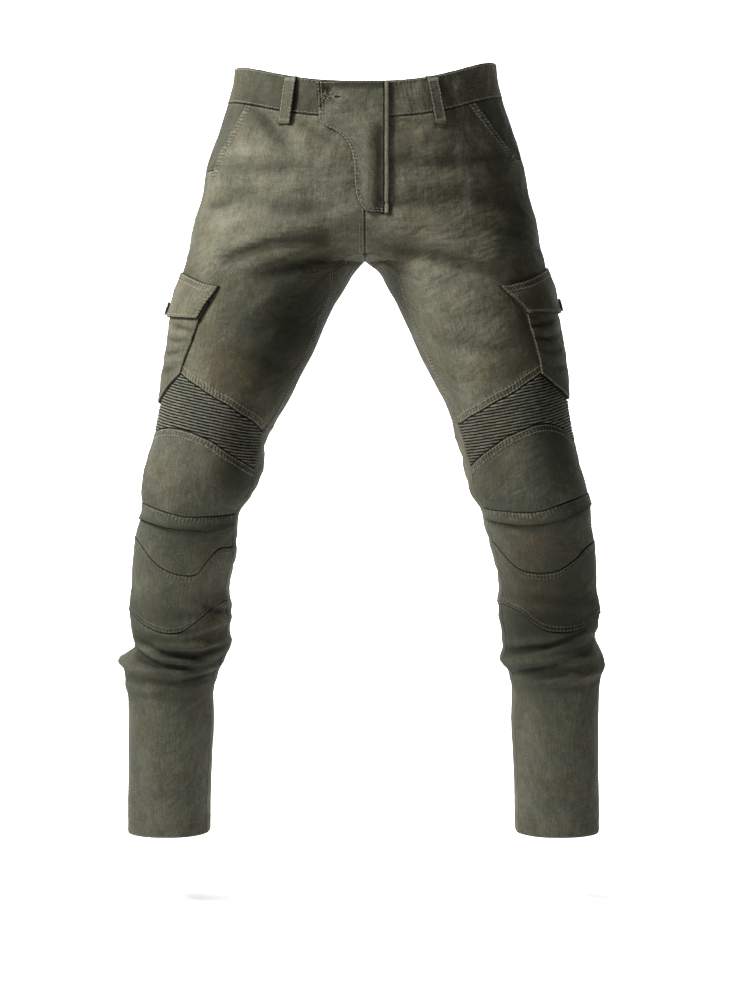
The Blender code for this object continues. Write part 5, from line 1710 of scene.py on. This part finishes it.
def aimed(name, data, stands_at, aim):
    """Puts a camera or a light in the scene, looking at a point."""
    item = bpy.data.objects.new(name, data)
    item.location = stands_at
    way = mathutils.Vector(aim) - mathutils.Vector(stands_at)
    item.rotation_euler = way.to_track_quat("-Z", "Y").to_euler()
    bpy.context.scene.collection.objects.link(item)
    return item


def camera():
    data = bpy.data.cameras.new("camera")
    data.lens = CAMERA_LENS
    data.sensor_width = 36.0
    data.clip_start, data.clip_end = 0.1, 50.0
    bpy.context.scene.camera = aimed("camera", data, CAMERA_PLACE, CAMERA_AIM)


def area_light(name, stands_at, aim, size, power, spread):
    data = bpy.data.lights.new(name, "AREA")
    data.shape = "DISK"
    data.size = size
    data.spread = math.radians(spread)
    data.energy = power
    aimed(name, data, stands_at, aim)


def backdrop():
    """A pale floor that bends up into a wall behind the trousers, and that is clear from below."""
    turns = np.linspace(0, math.pi / 2, 25)
    bend_y = BACKDROP_BACK - BACKDROP_BEND + BACKDROP_BEND * np.sin(turns)
    bend_z = FLOOR_Z + BACKDROP_BEND * (1 - np.cos(turns))
    line = [(BACKDROP_FRONT, FLOOR_Z), *zip(bend_y, bend_z), (BACKDROP_BACK, BACKDROP_HEIGHT)]
    points = [(side * BACKDROP_WIDTH / 2, y, z) for y, z in line for side in (-1, 1)]
    faces = [(2 * k, 2 * k + 1, 2 * k + 3, 2 * k + 2) for k in range(len(line) - 1)]
    made, n, shader = new_material("floor")
    shader.inputs["Base Color"].default_value = (*FLOOR, 1.0)
    shader.inputs["Roughness"].default_value = 0.9
    either = n.add("ShaderNodeMixShader")
    n.plug(either.inputs["Fac"], n.add("ShaderNodeNewGeometry").outputs["Backfacing"])
    n.plug(either.inputs[1], shader.outputs["BSDF"])
    n.plug(either.inputs[2], n.add("ShaderNodeBsdfTransparent").outputs["BSDF"])
    n.plug(made.node_tree.nodes["Material Output"].inputs["Surface"], either.outputs["Shader"])
    mesh_object("floor", np.array(points), faces, made)


def studio():
    """Soft light from the upper left, a weaker one over the floor and a dim surrounding."""
    backdrop()
    world = bpy.data.worlds.new("studio")
    world.use_nodes = True
    background = world.node_tree.nodes["Background"]
    background.inputs["Color"].default_value = (1.0, 1.0, 1.0, 1.0)
    background.inputs["Strength"].default_value = WORLD_LIGHT
    bpy.context.scene.world = world
    bpy.context.scene.view_settings.view_transform = "Standard"
    for light in LIGHTS:
        area_light(*light)


def main():
    camera()
    studio()
    group = twill_group()
    olive = twill("olive_twill", group, fading=0.55)
    legs, dim, ribs, hole = (twill(name, group, *tones) for name, *tones in TWILLS)
    thread, metal = thread_material(), metal_material()
    for leg in LEGS:
        sewing = Stitches(f"{leg}_stitching")
        waistband(leg, olive, sewing)
        front(leg, olive, sewing)
        pocket_facing(leg, dim)
        back(leg, olive, sewing)
        gusset(leg, olive, sewing)
        ribbed_panel(leg, ribs)
        knee(leg, legs, sewing)
        knee_band(leg, legs, sewing)
        under_knee(leg, legs)
        shin(leg, legs, sewing)
        lower_front(leg, legs, sewing)
        cargo_pocket(leg, olive, sewing)
        cargo_flap(leg, olive, sewing, metal)
        belt_loops(leg, olive, sewing)
        sewing.build(thread)
    sewing = Stitches("fly_stitching")
    fly(olive, sewing)
    slit(hole)
    back_loop(olive, sewing)
    sewing.build(thread)


main()
